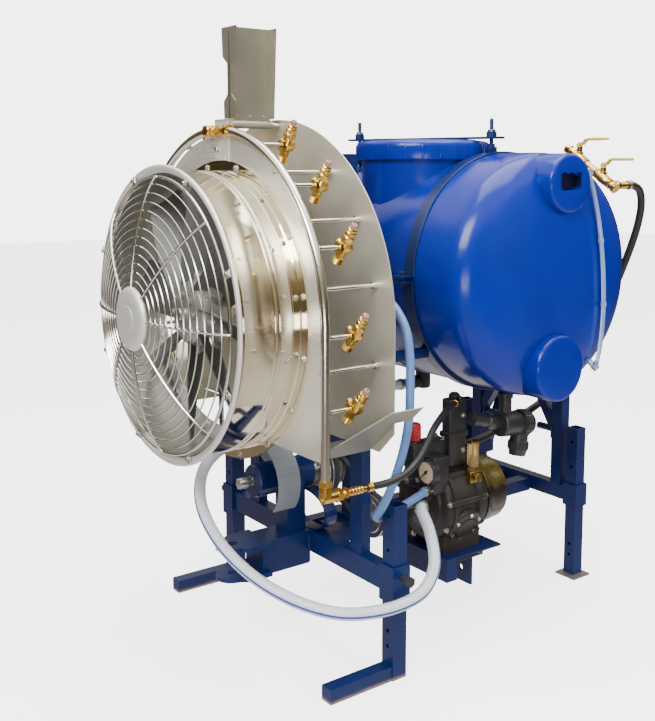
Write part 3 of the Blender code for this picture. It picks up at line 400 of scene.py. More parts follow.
# ---------------------------------------------------------------- solids
def mm(*points, at=(0, 0)):
    """Points given in millimetres from a place in metres, as metres."""
    return [(at[0] + x / 1000, at[1] + y / 1000) for x, y in points]


def full(*points):
    """An outline in millimetres, closed onto the turning axis at both of its ends."""
    return mm((0, points[0][1]), *points, (0, points[-1][1]))


def temp_object(mesh):
    obj = bpy.data.objects.new("temp", mesh)
    bpy.context.scene.collection.objects.link(obj)
    return obj


def from_bmesh(bm):
    mesh = bpy.data.meshes.new("temp")
    bm.to_mesh(mesh)
    bm.free()
    return temp_object(mesh)


def solid(bm):
    """A temporary object from a bmesh, welded and with its faces pointing out."""
    bmesh.ops.remove_doubles(bm, verts=bm.verts, dist=0.000005)
    bmesh.ops.recalc_face_normals(bm, faces=bm.faces)
    return from_bmesh(bm)


def evaluated(obj):
    """Replaces an object by a plain mesh object of what its modifiers make."""
    graph = bpy.context.evaluated_depsgraph_get()
    mesh = bpy.data.meshes.new_from_object(obj.evaluated_get(graph))
    mesh.transform(obj.matrix_world)
    bpy.data.objects.remove(obj, do_unlink=True)
    bm = bmesh.new()
    bm.from_mesh(mesh)
    return solid(bm)


def block(x, y, z):
    """A box from its three spans."""
    bm = bmesh.new()
    bmesh.ops.create_cube(bm, size=1.0)
    size = (x[1] - x[0], y[1] - y[0], z[1] - z[0])
    middle = ((x[0] + x[1]) / 2, (y[0] + y[1]) / 2, (z[0] + z[1]) / 2)
    bmesh.ops.scale(bm, vec=size, verts=bm.verts)
    bmesh.ops.translate(bm, vec=middle, verts=bm.verts)
    return solid(bm)


def bar(start, end, radius, sides=16, end_radius=None):
    """A round or polygonal bar between two points."""
    start, end = Vector(start), Vector(end)
    reach = end - start
    bm = bmesh.new()
    bmesh.ops.create_cone(
        bm, cap_ends=True, segments=sides, radius1=radius,
        radius2=radius if end_radius is None else end_radius, depth=reach.length,
    )
    turn = reach.to_track_quat("Z", "Y").to_matrix().to_4x4()
    bm.transform(Matrix.Translation((start + end) / 2) @ turn)
    return solid(bm)


AXIS_TURN = {
    "X": Matrix.Rotation(math.pi / 2, 4, "Y"),
    "Y": Matrix.Rotation(-math.pi / 2, 4, "X"),
    "Z": Matrix.Identity(4),
}


def turned(profile, axis, centre, steps=32, ring=False):
    """A turned solid: profile of (radius, place along the axis), closed if it is a ring."""
    bm = bmesh.new()
    points = [bm.verts.new((r, 0.0, h)) for r, h in profile]
    for a, b in zip(points, points[1:]):
        bm.edges.new((a, b))
    if ring:
        bm.edges.new((points[-1], points[0]))
    obj = from_bmesh(bm)
    screw = obj.modifiers.new("turn", "SCREW")
    screw.axis = "Z"
    screw.steps = steps
    screw.render_steps = steps
    screw.use_merge_vertices = True
    screw.merge_threshold = 0.00001
    obj = evaluated(obj)
    obj.data.transform(Matrix.Translation(centre) @ AXIS_TURN[axis])
    return obj


def sheet(outline, holes, y):
    """A flat plate in the XZ plane: an outline with holes, from y[0] to y[1]."""
    curve = bpy.data.curves.new("temp", "CURVE")
    curve.dimensions = "2D"
    curve.fill_mode = "BOTH"
    curve.extrude = (y[1] - y[0]) / 2
    for loop in [outline, *holes]:
        spline = curve.splines.new("POLY")
        spline.points.add(len(loop) - 1)
        for point, (x, z) in zip(spline.points, loop):
            point.co = (x, z, 0.0, 1.0)
        spline.use_cyclic_u = True
    obj = temp_object(curve)
    obj.matrix_world = Matrix.Translation((0, (y[0] + y[1]) / 2, 0)) @ Matrix.Rotation(
        math.pi / 2, 4, "X"
    )
    bpy.context.view_layer.update()
    return evaluated(obj)


def path_tube(points, radius, resolution=1, closed=False):
    """A tube along points, as a mesh."""
    curve = bpy.data.curves.new("temp", "CURVE")
    curve.dimensions = "3D"
    curve.bevel_depth = radius
    curve.bevel_resolution = resolution
    curve.use_fill_caps = not closed
    spline = curve.splines.new("POLY")
    spline.points.add(len(points) - 1)
    for point, place in zip(spline.points, points):
        point.co = (*place, 1.0)
    spline.use_cyclic_u = closed
    return evaluated(temp_object(curve))


def combine(base, others, operation):
    """One solid from several, by Booleans that use the others up."""
    for other in others:
        step = base.modifiers.new("step", "BOOLEAN")
        step.operation = operation
        step.object = other
        step.solver = "EXACT"
        bpy.context.view_layer.update()
        base = evaluated(base)
        bpy.data.objects.remove(other, do_unlink=True)
    return base


def cut(base, *cutters):
    return combine(base, cutters, "DIFFERENCE")


def mirrored(obj):
    """A temporary solid, taken to the other side of the machine's middle plane."""
    bm = bmesh.new()
    bm.from_mesh(obj.data)
    bpy.data.objects.remove(obj, do_unlink=True)
    bmesh.ops.scale(bm, vec=(-1, 1, 1), verts=bm.verts)
    return solid(bm)


# ---------------------------------------------------------------- outlines
def arc(centre, radius, first, last, count):
    """Points on an arc in the XZ plane, angles in degrees from +X."""
    step = (last - first) / count
    return [
        (
            centre[0] + radius * math.cos(math.radians(first + step * i)),
            centre[1] + radius * math.sin(math.radians(first + step * i)),
        )
        for i in range(count + 1)
    ]


def circle(centre, radius, count):
    return arc(centre, radius, 0.0, 360.0, count)[:-1]


def smooth_route(points, spacing):
    """Points at an even spacing on a smooth curve through the route's own points."""
    route = [Vector(p) for p in points]
    ends = [2 * route[0] - route[1], *route, 2 * route[-1] - route[-2]]
    fine = []
    for a, b, c, d in zip(ends, ends[1:], ends[2:], ends[3:]):
        for i in range(20):
            t = i / 20
            fine.append(
                0.5 * (2 * b + (c - a) * t + (2 * a - 5 * b + 4 * c - d) * t * t
                       + (3 * b - a - 3 * c + d) * t ** 3)
            )
    fine.append(route[-1])
    total = sum((q - p).length for p, q in zip(fine, fine[1:]))
    count = max(2, round(total / spacing))
    even, walked, target = [fine[0]], 0.0, total / count
    for p, q in zip(fine, fine[1:]):
        length = (q - p).length
        while walked + length >= target and len(even) < count:
            even.append(p.lerp(q, (target - walked) / length))
            target += total / count
        walked += length
    even.append(fine[-1])
    return even


HOSES = {
    "suction_hose": (0.016, [
        (0.3171, -0.0862, 0.3934), (0.336, -0.108, 0.39), (0.385, -0.122, 0.35),
        (0.426, -0.142, 0.288), (0.447, -0.188, 0.24), (0.45, -0.255, 0.219),
        (0.432, -0.345, 0.212),
        (0.385, -0.43, 0.216), (0.3, -0.5, 0.238), (0.19, -0.548, 0.276),
        (0.07, -0.57, 0.33), (-0.04, -0.56, 0.395), (-0.118, -0.512, 0.455),
        (-0.15, -0.44, 0.496), (-0.152, -0.35, 0.512), (-0.145, -0.24, 0.512),
        (-0.13, -0.12, 0.52), (-0.112, 0.0, 0.56), (-0.102, 0.09, 0.6),
        (-0.1, 0.15, 0.612), (-0.1, 0.1992, 0.612),
    ]),
    "return_hose": (0.011, [
        (0.12, -0.0858, 0.995), (0.12, -0.125, 0.995), (0.155, -0.178, 0.992),
        (0.255, -0.22, 0.984), (0.37, -0.248, 0.962), (0.442, -0.262, 0.912),
        (0.47, -0.27, 0.845), (0.478, -0.275, 0.76), (0.477, -0.278, 0.69),
        (0.466, -0.286, 0.612), (0.443, -0.298, 0.528), (0.412, -0.304, 0.464),
        (0.372, -0.292, 0.424),
        (0.34, -0.245, 0.406), (0.324, -0.18, 0.408), (0.318, -0.125, 0.418),
        (0.3083, -0.0771, 0.425), (0.2984, -0.0607, 0.425),
    ]),
    "pressure_hose": (0.009, [
        (0.465, -0.3992, 0.545), (0.466, -0.375, 0.545), (0.48, -0.335, 0.552),
        (0.487, -0.29, 0.568), (0.468, -0.235, 0.588), (0.436, -0.18, 0.61),
        (0.4, -0.125, 0.631), (0.36, -0.06, 0.645), (0.32, 0.0, 0.65),
        (0.287, 0.049, 0.645), (0.2695, 0.0724, 0.645),
    ]),
    "feed_hose": (0.012, [
        (0.296, 0.7608, 1.236), (0.296, 0.79, 1.236), (0.297, 0.826, 1.218),
        (0.288, 0.848, 1.165), (0.268, 0.854, 1.09), (0.238, 0.85, 1.0),
        (0.2, 0.842, 0.9), (0.158, 0.828, 0.8), (0.115, 0.8, 0.7),
        (0.08, 0.755, 0.605), (0.062, 0.69, 0.535), (0.06, 0.61, 0.5),
        (0.075, 0.52, 0.486), (0.1, 0.43, 0.478), (0.13, 0.33, 0.472),
        (0.15, 0.23, 0.47), (0.15, 0.1743, 0.47),
    ]),
}


# ---------------------------------------------------------------- placing pieces
def gather(*parts):
    """One object from several solids, without a Boolean."""
    bm = bmesh.new()
    for part in parts:
        bm.from_mesh(part.data)
        bpy.data.objects.remove(part, do_unlink=True)
    return from_bmesh(bm)


def bevel(obj, width, segments, angle):
    step = obj.modifiers.new("soft", "BEVEL")
    step.width = width
    step.segments = segments
    step.limit_method = "ANGLE"
    step.angle_limit = math.radians(angle)


def soften(obj, width=0.0015, segments=2, angle=35):
    """The same solid with its sharp edges rounded off."""
    bevel(obj, width, segments, angle)
    bpy.context.view_layer.update()
    return evaluated(obj)


def dress(obj, look, angle):
    obj.data.materials.clear()
    obj.data.materials.append(LOOK[look])
    obj.data.shade_smooth()
    obj.data.set_sharp_from_angle(angle=math.radians(angle))


def show(obj, name, look, body=FRAME_BODY, replaces=(), angle=32):
    """Names a finished piece, or one made of a list, dresses it and puts it on its body."""
    if isinstance(obj, list):
        obj = gather(*obj)
    obj.name = name
    obj.data.name = name
    dress(obj, look, angle)
    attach(obj, body)
    if replaces:
        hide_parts(*replaces)
    return obj


def keep(node, look, width=0.0012):
    """A CAD node whose shape is right: a better material and softer edges."""
    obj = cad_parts[node]
    dress(obj, look, 32)
    if width:
        bevel(obj, width, 2, 40)


def moved(obj, matrix):
    obj.data.transform(matrix)
    return obj


def posed(place, degrees, axis):
    """A turn about an axis, then a move to a place."""
    return Matrix.Translation(place) @ Matrix.Rotation(math.radians(degrees), 4, axis)


def stood(obj, base, direction):
    """A solid made along +Z, moved to a base point and turned to a direction."""
    turn = Vector(direction).to_track_quat("Z", "Y").to_matrix().to_4x4()
    return moved(obj, Matrix.Translation(base) @ turn)


def spun(profile, base, direction, steps=24, ring=False):
    """A turned solid standing on a base point, its axis along a direction."""
    return stood(turned(profile, "Z", (0, 0, 0), steps, ring), base, direction)


def rod(radius, length, base, direction, steps):
    """A plain round rod."""
    return spun([(0, 0), (radius, 0), (radius, length), (0, length)], base, direction, steps)


def hexagon(base, direction, width, height):
    """A hexagon nut or head with its corners chamfered, standing on a base point."""
    body = bar((0, 0, 0), (0, 0, height), width / math.sqrt(3), 6)
    cone = turned(
        [(0, -0.001), (width * 0.6, -0.001), (width * 0.6, height * 0.72),
         (width * 0.47, height + 0.0001), (0, height + 0.0001)], "Z", (0, 0, 0), 18,
    )
    return stood(combine(body, [cone], "INTERSECT"), base, direction)


HEX_MESHES = {}


def bolt(base, direction, width=0.013, height=0.006, washer=True):
    """A hexagon head on a washer; each size is cut once and copied."""
    key = (width, height, washer)
    if key not in HEX_MESHES:
        parts = [hexagon((0, 0, 0.001 if washer else 0), UP, width, height)]
        if washer:
            parts.append(turned([(0, -0.0008), (width * 0.78, -0.0008), (width * 0.78, 0.001),
                                 (0, 0.0012)], "Z", (0, 0, 0), 20))
        made = gather(*parts)
        HEX_MESHES[key] = made.data
        bpy.data.objects.remove(made, do_unlink=True)
    copy = temp_object(HEX_MESHES[key].copy())
    return stood(copy, base, direction)


def wire_ring(radius, y, wire, steps=96, sides=8):
    section = [
        (radius + wire * math.cos(math.tau * i / sides), y + wire * math.sin(math.tau * i / sides))
        for i in range(sides)
    ]
    return turned(section, *FAN_AXIS, steps, ring=True)


def radial(degrees):
    """A direction in the fan's plane."""
    return Vector((math.cos(math.radians(degrees)), 0, math.sin(math.radians(degrees))))


def around(radius, y, degrees):
    return Vector((0, y, FAN_Z)) + radius * radial(degrees)


def rounded_block(x, y, z, width=0.003, segments=3):
    return soften(block(x, y, z), width, segments)


def tube_mesh(points, radius, sides=16, twist=0.0):
    """An open-ended tube's skin along points, with a map of length and turn for its weave."""
    path = [Vector(p) for p in points]
    bm = bmesh.new()
    layer = bm.loops.layers.uv.new("round")
    rings, walked, lengths = [], 0.0, []
    normal = Vector(UP)
    for i, point in enumerate(path):
        ahead = path[min(i + 1, len(path) - 1)] - path[max(i - 1, 0)]
        ahead.normalize()
        normal = (normal - ahead * normal.dot(ahead)).normalized()
        side = ahead.cross(normal)
        if i:
            walked += (point - path[i - 1]).length
        lengths.append(walked)
        ring = []
        for k in range(sides):
            a = math.tau * k / sides + twist
            ring.append(bm.verts.new(point + radius * (math.cos(a) * normal + math.sin(a) * side)))
        rings.append(ring)
    for i in range(len(rings) - 1):
        for k in range(sides):
            m = (k + 1) % sides
            face = bm.faces.new((rings[i][k], rings[i][m], rings[i + 1][m], rings[i + 1][k]))
            for loop, (u, v) in zip(face.loops, (
                (lengths[i], k), (lengths[i], k + 1), (lengths[i + 1], k + 1), (lengths[i + 1], k),
            )):
                loop[layer].uv = (u / (radius * 0.55), v / sides)
    bm.faces.new(rings[0])
    bm.faces.new(list(reversed(rings[-1])))
    bmesh.ops.recalc_face_normals(bm, faces=bm.faces)
    return from_bmesh(bm)


# ---------------------------------------------------------------- camera and stage
# What polished metal sees, from straight down to straight up: a pale floor, a dark warm
# room at eye level, then bright soft boxes.
ROOM = (
    (0.0, (0.52, 0.51, 0.5)), (0.26, (0.5, 0.47, 0.46)), (0.4, (0.17, 0.135, 0.105)),
    (0.5, (0.02, 0.014, 0.009)), (0.575, (0.03, 0.021, 0.012)), (0.66, (0.07, 0.054, 0.028)),
    (0.79, (0.16, 0.13, 0.07)), (0.87, (1.0, 0.97, 0.88)), (1.0, (0.8, 0.8, 0.79)),
)
ROOM_STRENGTH = 2.4
PAPER_STRENGTH = 5.0
FLOOR_GLOW = 2.9


def camera():
    data = bpy.data.cameras.new("photo_camera")
    data.sensor_fit = "AUTO"
    data.sensor_width = 36.0
    data.lens = 49.27
    data.shift_x = -0.0101
    data.shift_y = -0.1158
    data.clip_end = 60.0
    obj = bpy.data.objects.new("photo_camera", data)
    obj.location = (2.2273, -1.7932, 1.2998)
    obj.rotation_euler = (math.radians(83.5), 0.0, math.radians(53.5))
    bpy.context.scene.collection.objects.link(obj)
    bpy.context.scene.camera = obj


def area_light(name, place, target, size, power, colour=(1, 1, 1), glossy=True):
    data = bpy.data.lights.new(name, "AREA")
    data.shape = "RECTANGLE"
    data.size, data.size_y = size
    data.energy = power
    data.color = colour
    obj = bpy.data.objects.new(name, data)
    obj.location = place
    obj.rotation_euler = (Vector(target) - Vector(place)).to_track_quat("-Z", "Y").to_euler()
    obj.visible_glossy = glossy
    bpy.context.scene.collection.objects.link(obj)


def stage():
    bm = bmesh.new()
    bmesh.ops.create_grid(bm, x_segments=2, y_segments=2, size=14.0)
    floor = from_bmesh(bm)
    floor.name = "floor"
    floor.location = (0, 0, -0.0005)
    n = Nodes("floor_paper")
    n.colour(n.mix(n.noise(1.5, 2.0), (0.86, 0.86, 0.86), (0.9, 0.9, 0.9)))
    n.rough(n.noise(4.0, 2.0), 0.75, 0.9)
    n.set(Emission_Color=(1, 1, 1, 1), Emission_Strength=FLOOR_GLOW)
    floor.data.materials.append(n.material)
    floor.visible_glossy = False
    floor.visible_diffuse = False
    world = bpy.data.worlds.new("studio")
    bpy.context.scene.world = world
    world.use_nodes = True
    tree = world.node_tree
    soft = tree.nodes["Background"]
    soft.inputs["Color"].default_value = (1, 1, 1, 1)
    soft.inputs["Strength"].default_value = 1.0
    place = add_node(tree, "TexCoord").outputs["Generated"]
    split = add_node(tree, "SeparateXYZ")
    drift = add_node(tree, "TexNoise", Scale=1.7, Detail=2.0)
    half = add_node(tree, "MapRange", From_Min=-1.0)
    lift = add_node(tree, "Math")
    lift.operation = "MULTIPLY_ADD"
    lift.inputs[1].default_value = 0.16
    ramp = add_node(tree, "ValToRGB")
    fill_ramp(ramp, ROOM)
    room = add_node(tree, "Background", Strength=ROOM_STRENGTH)
    paper = add_node(tree, "Background", Color=(1, 1, 1, 1), Strength=PAPER_STRENGTH)
    ray = add_node(tree, "LightPath")
    first, second = add_node(tree, "MixShader"), add_node(tree, "MixShader")
    for output, node, socket in (
        (place, split, "Vector"), (place, drift, "Vector"), (split.outputs["Z"], half, "Value"),
        (drift.outputs["Fac"], lift, 0), (half.outputs["Result"], lift, 2),
        (lift.outputs[0], ramp, "Fac"), (ramp.outputs["Color"], room, "Color"),
        (ray.outputs["Is Glossy Ray"], first, 0), (soft.outputs[0], first, 1),
        (room.outputs[0], first, 2), (ray.outputs["Is Camera Ray"], second, 0),
        (first.outputs[0], second, 1), (paper.outputs[0], second, 2),
        (second.outputs[0], tree.nodes["World Output"], "Surface"),
    ):
        tree.links.new(output, node.inputs[socket])
    area_light("key", (1.6, -3.4, 3.6), (0, 0, 0.9), (2.6, 1.6), 230, (1.0, 0.985, 0.96))
    area_light("side", (4.4, 1.3, 2.2), (0, 0.2, 0.9), (3.2, 3.2), 120, glossy=False)
    area_light("top", (0.2, 0.3, 4.4), (0, 0, 0.9), (3.0, 3.0), 190)
    area_light("low", (2.4, -2.2, 0.7), (0, 0, 0.5), (1.4, 0.5), 22)


camera()
stage()


# ---------------------------------------------------------------- hoses (cords) first
# Turns the suction hose so that its blue line runs along the outside of the loop, low down.
STRIPE_TURN = math.radians(124)


def hose(name, look, clamp_look):
    radius, route = HOSES[name]
    points = smooth_route(route, 0.01)
    made = tube_mesh(points, radius, 20, STRIPE_TURN)
    show(made, name + "_skin", look, replaces=(name,), angle=60)
    length = sum((b - a).length for a, b in zip(points, points[1:]))
    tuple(route[0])
    [tuple(p) for p in points]
    for tag, end, inner in (("start", points[0], points[2]), ("end", points[-1], points[-3])):
        along = (inner - end).normalized()
        band = radius + 0.0002
        profile = [(band, 0.005), (band + 0.0012, 0.0052), (band + 0.0022, 0.007),
                   (band + 0.0022, 0.018), (band + 0.0012, 0.0198), (band, 0.02)]
        ring = spun(profile, end, along, 28, ring=True)
        side = along.orthogonal().normalized()
        seat = end + 0.0125 * along + (band + 0.0035) * side
        screw = bolt(seat - 0.006 * along.cross(side), along.cross(side), 0.009, 0.012, False)
        show([ring, screw], f"{name}_clamp_{tag}", clamp_look)


hose("suction_hose", "suction", "zinc")
hose("return_hose", "return", "zinc")
hose("pressure_hose", "feed", "brass")
hose("feed_hose", "feed", "zinc")


# ---------------------------------------------------------------- fan
GUARD_R = 0.347
GUARD_Y = -0.6905
GUARD_DOME = 0.078


def guard_y(radius):
    return GUARD_Y - GUARD_DOME * max(0.0, 1 - (radius / GUARD_R) ** 2) ** 0.75


def fan_guard():
    rings = [wire_ring(GUARD_R, GUARD_Y, 0.0042, 120)]
    count = 12
    for i in range(count):
        ring_r = 0.329 - i * (0.329 - 0.095) / (count - 1)
        rings.append(wire_ring(ring_r, guard_y(ring_r) + 0.002, 0.0021, 96, 6))
    for i in range(8):
        a = 45 * i
        points = []
        for k in range(15):
            r = 0.35 - (0.35 - 0.06) * k / 14
            points.append(around(r, guard_y(min(r, GUARD_R)) - 0.002, a))
        rings.append(path_tube(points, 0.0031, 2))
    show(rings, "guard_wires", "wire", replaces=("fan_guard",))
    hub = turned(
        mm((0, -780), (45, -779.7), (66, -778), (76.5, -773.5), (80, -768), (80, -764.5),
           (77, -764), (74, -769), (0, -770)), *FAN_AXIS, 72,
    )
    show(hub, "guard_hub", "satin", angle=50)
    cap = turned(mm((0, -781.2), (30, -781.1), (33, -780.6), (34, -779), (0, -778.8)),
                 *FAN_AXIS, 64)
    show(cap, "hub_cap", "satin", angle=40)
    clips = []
    for a in (22, 67, 112, 157, 202, 247, 292, 337):
        seat = around(0.36, -0.6855, a)
        clip = rounded_block((-0.009, 0.009), (-0.0015, 0.0015), (-0.016, 0.012), 0.0008, 1)
        clips.append(moved(clip, posed(seat + Vector((0, -0.0035, 0)), 90 - a, "Y")))
        clips.append(bolt(seat + Vector((0, -0.005, 0)) + 0.002 * radial(a), BACK, 0.01, 0.005))
    show(clips, "guard_clips", "zinc")


def fan_drum():
    outer, inner = DRUM_R, DRUM_R - DRUM_WALL
    front, back = DRUM_Y
    profile = [(inner, back), *mm((388, 0), (388.5, -2.5), (388, -5), at=(0, back)),
               *mm((3, -5), (0, -8), at=(outer, back))]
    for centre, size in ((-0.53, 0.0022), (-0.566, 0.0032), (-0.579, 0.0026)):
        for i in range(7):
            a = math.pi * i / 6
            profile.append((outer + size * math.sin(a), centre + size * 1.2 * math.cos(a)))
    profile += mm((0, 24), (6, 16), (14, 10), (17, 6), (17, 3), (14.5, 0.8), (11, 0.2), (6, 1.5),
                  (1, 7), at=(outer, front)) + [(inner, front + 0.014)]
    show(turned(profile, *FAN_AXIS, 160, ring=True), "drum_skin", "steel",
         replaces=("fan_drum",), angle=40)
    # A thin darker sheet over the drum's inner wall: painted shade inside the duct, and rougher to
    # dull its reflections.
    inner_shade = [(inner - 0.0002, back + 0.001), (inner - 0.0002, front + 0.013),
              (inner - 0.0014, front + 0.013), (inner - 0.0014, back + 0.001)]
    show(turned(inner_shade, *FAN_AXIS, 160, ring=True), "drum_inner_painted_shade", "inner_shade")
    heads = []
    for i in range(16):
        a = 22.5 * i + 11.25
        heads.append(bolt(around(0.3755, back - 0.0052, a), BACK, 0.011, 0.0045))
    for i in range(4):
        a = 90 * i + 78
        heads.append(bolt(around(outer + 0.0006, -0.543, a), radial(a), 0.011, 0.0045))
    show(heads, "drum_bolts", "zinc")
    rim = mm((-2.8, 9.8), (0.8, 6), (5.8, 0.4), (11, -1), (15.2, -0.3), (18, 2.6), (18, 6.8),
             (17.2, 7), (16.5, 3), (11, 1), (6.2, 2.4), (1, 8), at=(outer, front))
    show(turned(rim, *FAN_AXIS, 160, ring=True), "drum_rim", "satin", angle=60)
    flange = mm((306, -523.5), (355.5, -523.5), (355.5, -521.5), (306, -521.5))
    stator = [turned(flange, *FAN_AXIS, 120, ring=True)]
    for i in range(24):
        for ring_r in (0.318, 0.342):
            stator.append(bolt(around(ring_r, -0.5236, 15 * i + 4), BACK, 0.011, 0.006))
    show(stator, "stator_ring", "stator")
    seam = rounded_block((-0.01, 0.01), (-0.672, -0.512), (outer, outer + 0.0022), 0.0008, 1)
    show(moved(seam, posed((0, 0, FAN_Z), -152, "Y")), "drum_seam", "steel")
    struts = []
    for a in (60, 180, 300):
        strut = rounded_block((-0.01, 0.01), (-0.0025, 0.0025), (0.05, inner - 0.0005), 0.001, 1)
        struts.append(moved(strut, posed((0, -0.5175, FAN_Z), a, "Y")))
    struts.append(turned(mm((18, -526), (55, -526), (58, -520), (58, -512), (18, -508)),
                         *FAN_AXIS, 48, ring=True))
    show(struts, "drum_spider", "zinc")


def blade(index):
    """One twisted, cambered blade from hub to tip."""
    bm = bmesh.new()
    spans, chords = 12, 9
    grid = []
    for i in range(spans + 1):
        t = i / spans
        r = BLADE_R[0] + (BLADE_R[1] - BLADE_R[0]) * t
        chord = 0.078 + 0.045 * math.sin(math.pi * min(1.0, 0.25 + 0.6 * t))
        pitch = math.radians(56 - 30 * t)
        row = []
        for k in range(chords + 1):
            s = k / chords - 0.5
            camber = 0.01 * (1 - 4 * s * s)
            flat = s * chord
            side = flat * math.cos(pitch) - camber * math.sin(pitch)
            depth = flat * math.sin(pitch) + camber * math.cos(pitch)
            row.append(bm.verts.new((side, max(-0.043, min(0.043, depth)), r)))
        grid.append(row)
    for i in range(spans):
        for k in range(chords):
            bm.faces.new((grid[i][k], grid[i][k + 1], grid[i + 1][k + 1], grid[i + 1][k]))
    obj = from_bmesh(bm)
    thick = obj.modifiers.new("thick", "SOLIDIFY")
    thick.thickness = 0.0042
    thick.offset = 0.0
    bpy.context.view_layer.update()
    obj = evaluated(obj)
    return moved(obj, posed((0, BLADE_Y, FAN_Z), 360 / FAN_BLADES * index + BLADE_START, "Y"))


def fan_rotor():
    show([blade(i) for i in range(FAN_BLADES)], "rotor_blades", "blade", "fan",
         ("fan_rotor",), 40)
    hub = turned(
        mm((15.5, -624), (30, -625), (60, -622.5), (78, -613), (85.5, -600), (86, -540),
           (82, -533.5), (70, -531), (15.5, -531)), *FAN_AXIS, 72, ring=True,
    )
    parts = [hub]
    for i in range(FAN_BLADES):
        parts.append(bolt(around(0.052, -0.6232, 45 * i), BACK, 0.013, 0.006))
        root = rounded_block((-0.02, 0.02), (-0.016, 0.016), (0.078, 0.108), 0.004, 2)
        turn = Matrix.Rotation(math.radians(45 * i + BLADE_START), 4, "Y") @ Matrix.Rotation(
            math.radians(52), 4, "Z")
        parts.append(moved(root, Matrix.Translation((0, BLADE_Y, FAN_Z)) @ turn))
    show(parts, "rotor_hub", "hub", "fan")


def pulley(groove_r, span):
    """Profile points of a V-belt pulley, along +Y."""
    low, high = span[0] - 0.006, span[1] + 0.006
    side = groove_r + 0.009
    return [(side - 0.016, low), (side - 0.014, low + 0.002), (side - 0.001, low + 0.002),
            (side, low + 0.003), (side, span[0] - 0.001), (groove_r, span[0] + 0.001),
            (groove_r, span[1] - 0.001), (side, span[1] + 0.001), (side, high - 0.003),
            (side - 0.001, high - 0.002), (side - 0.014, high - 0.002), (side - 0.016, high)]


def shafts():
    fan = [(0, -0.64), (0.013, -0.64), (0.015, -0.638), (0.015, -0.216), (0.026, -0.216),
           (0.028, -0.214), *pulley(0.05, (-0.208, -0.192)), (0.026, -0.184), (0.015, -0.184),
           (0.015, -0.174), (0.013, -0.172), (0, -0.172)]
    show(turned(fan, *FAN_AXIS, 64), "fan_shaft_skin", "zinc", "fan", ("fan_shaft",))
    drive = [(0, -0.43), (0.015, -0.43), (0.015, -0.216), (0.034, -0.216), (0.036, -0.214),
             *pulley(0.078, (-0.208, -0.192)), (0.03, -0.184), (0.03, -0.18),
             *pulley(0.052, (-0.172, -0.156)), (0.028, -0.148), (0.015, -0.148),
             (0.015, -0.132), (0.013, -0.13), (0, -0.13)]
    body = turned(drive, "Y", (0, 0, DRIVE_Z), 64)
    teeth = []
    for i in range(72):
        r = 0.015 if (i // 6) % 2 == 0 else 0.0126
        teeth.append((r * math.cos(math.tau * i / 72), DRIVE_Z + r * math.sin(math.tau * i / 72)))
    spline = soften(sheet(teeth, [], (-0.468, -0.428)), 0.0008, 2, 50)
    show([body, spline], "drive_shaft_skin", "zinc", "countershaft", ("drive_shaft",))
    pump = [(0, -0.192), (0.011, -0.192), (0.0125, -0.19), (0.0125, -0.18), (0.024, -0.18),
            *pulley(0.052, (-0.172, -0.156)), (0.024, -0.146), (0.0125, -0.146),
            (0.0125, 0.243), (0.011, 0.245), (0, 0.245)]
    show(turned(pump, "Y", (PUMP.x, 0, PUMP.z), 64), "pump_shaft_skin", "zinc",
         "pump_spindle", ("pump_shaft",))


# ---------------------------------------------------------------- outlet plates
def stud_places():
    places = [
        (STUD_RING_R * math.cos(math.radians(a)), FAN_Z + STUD_RING_R * math.sin(math.radians(a)))
        for a in STUD_ANGLES
    ]
    places.append((STUD_RING_R, LOW_STUD_Z))
    return places + [(-x, z) for x, z in places]


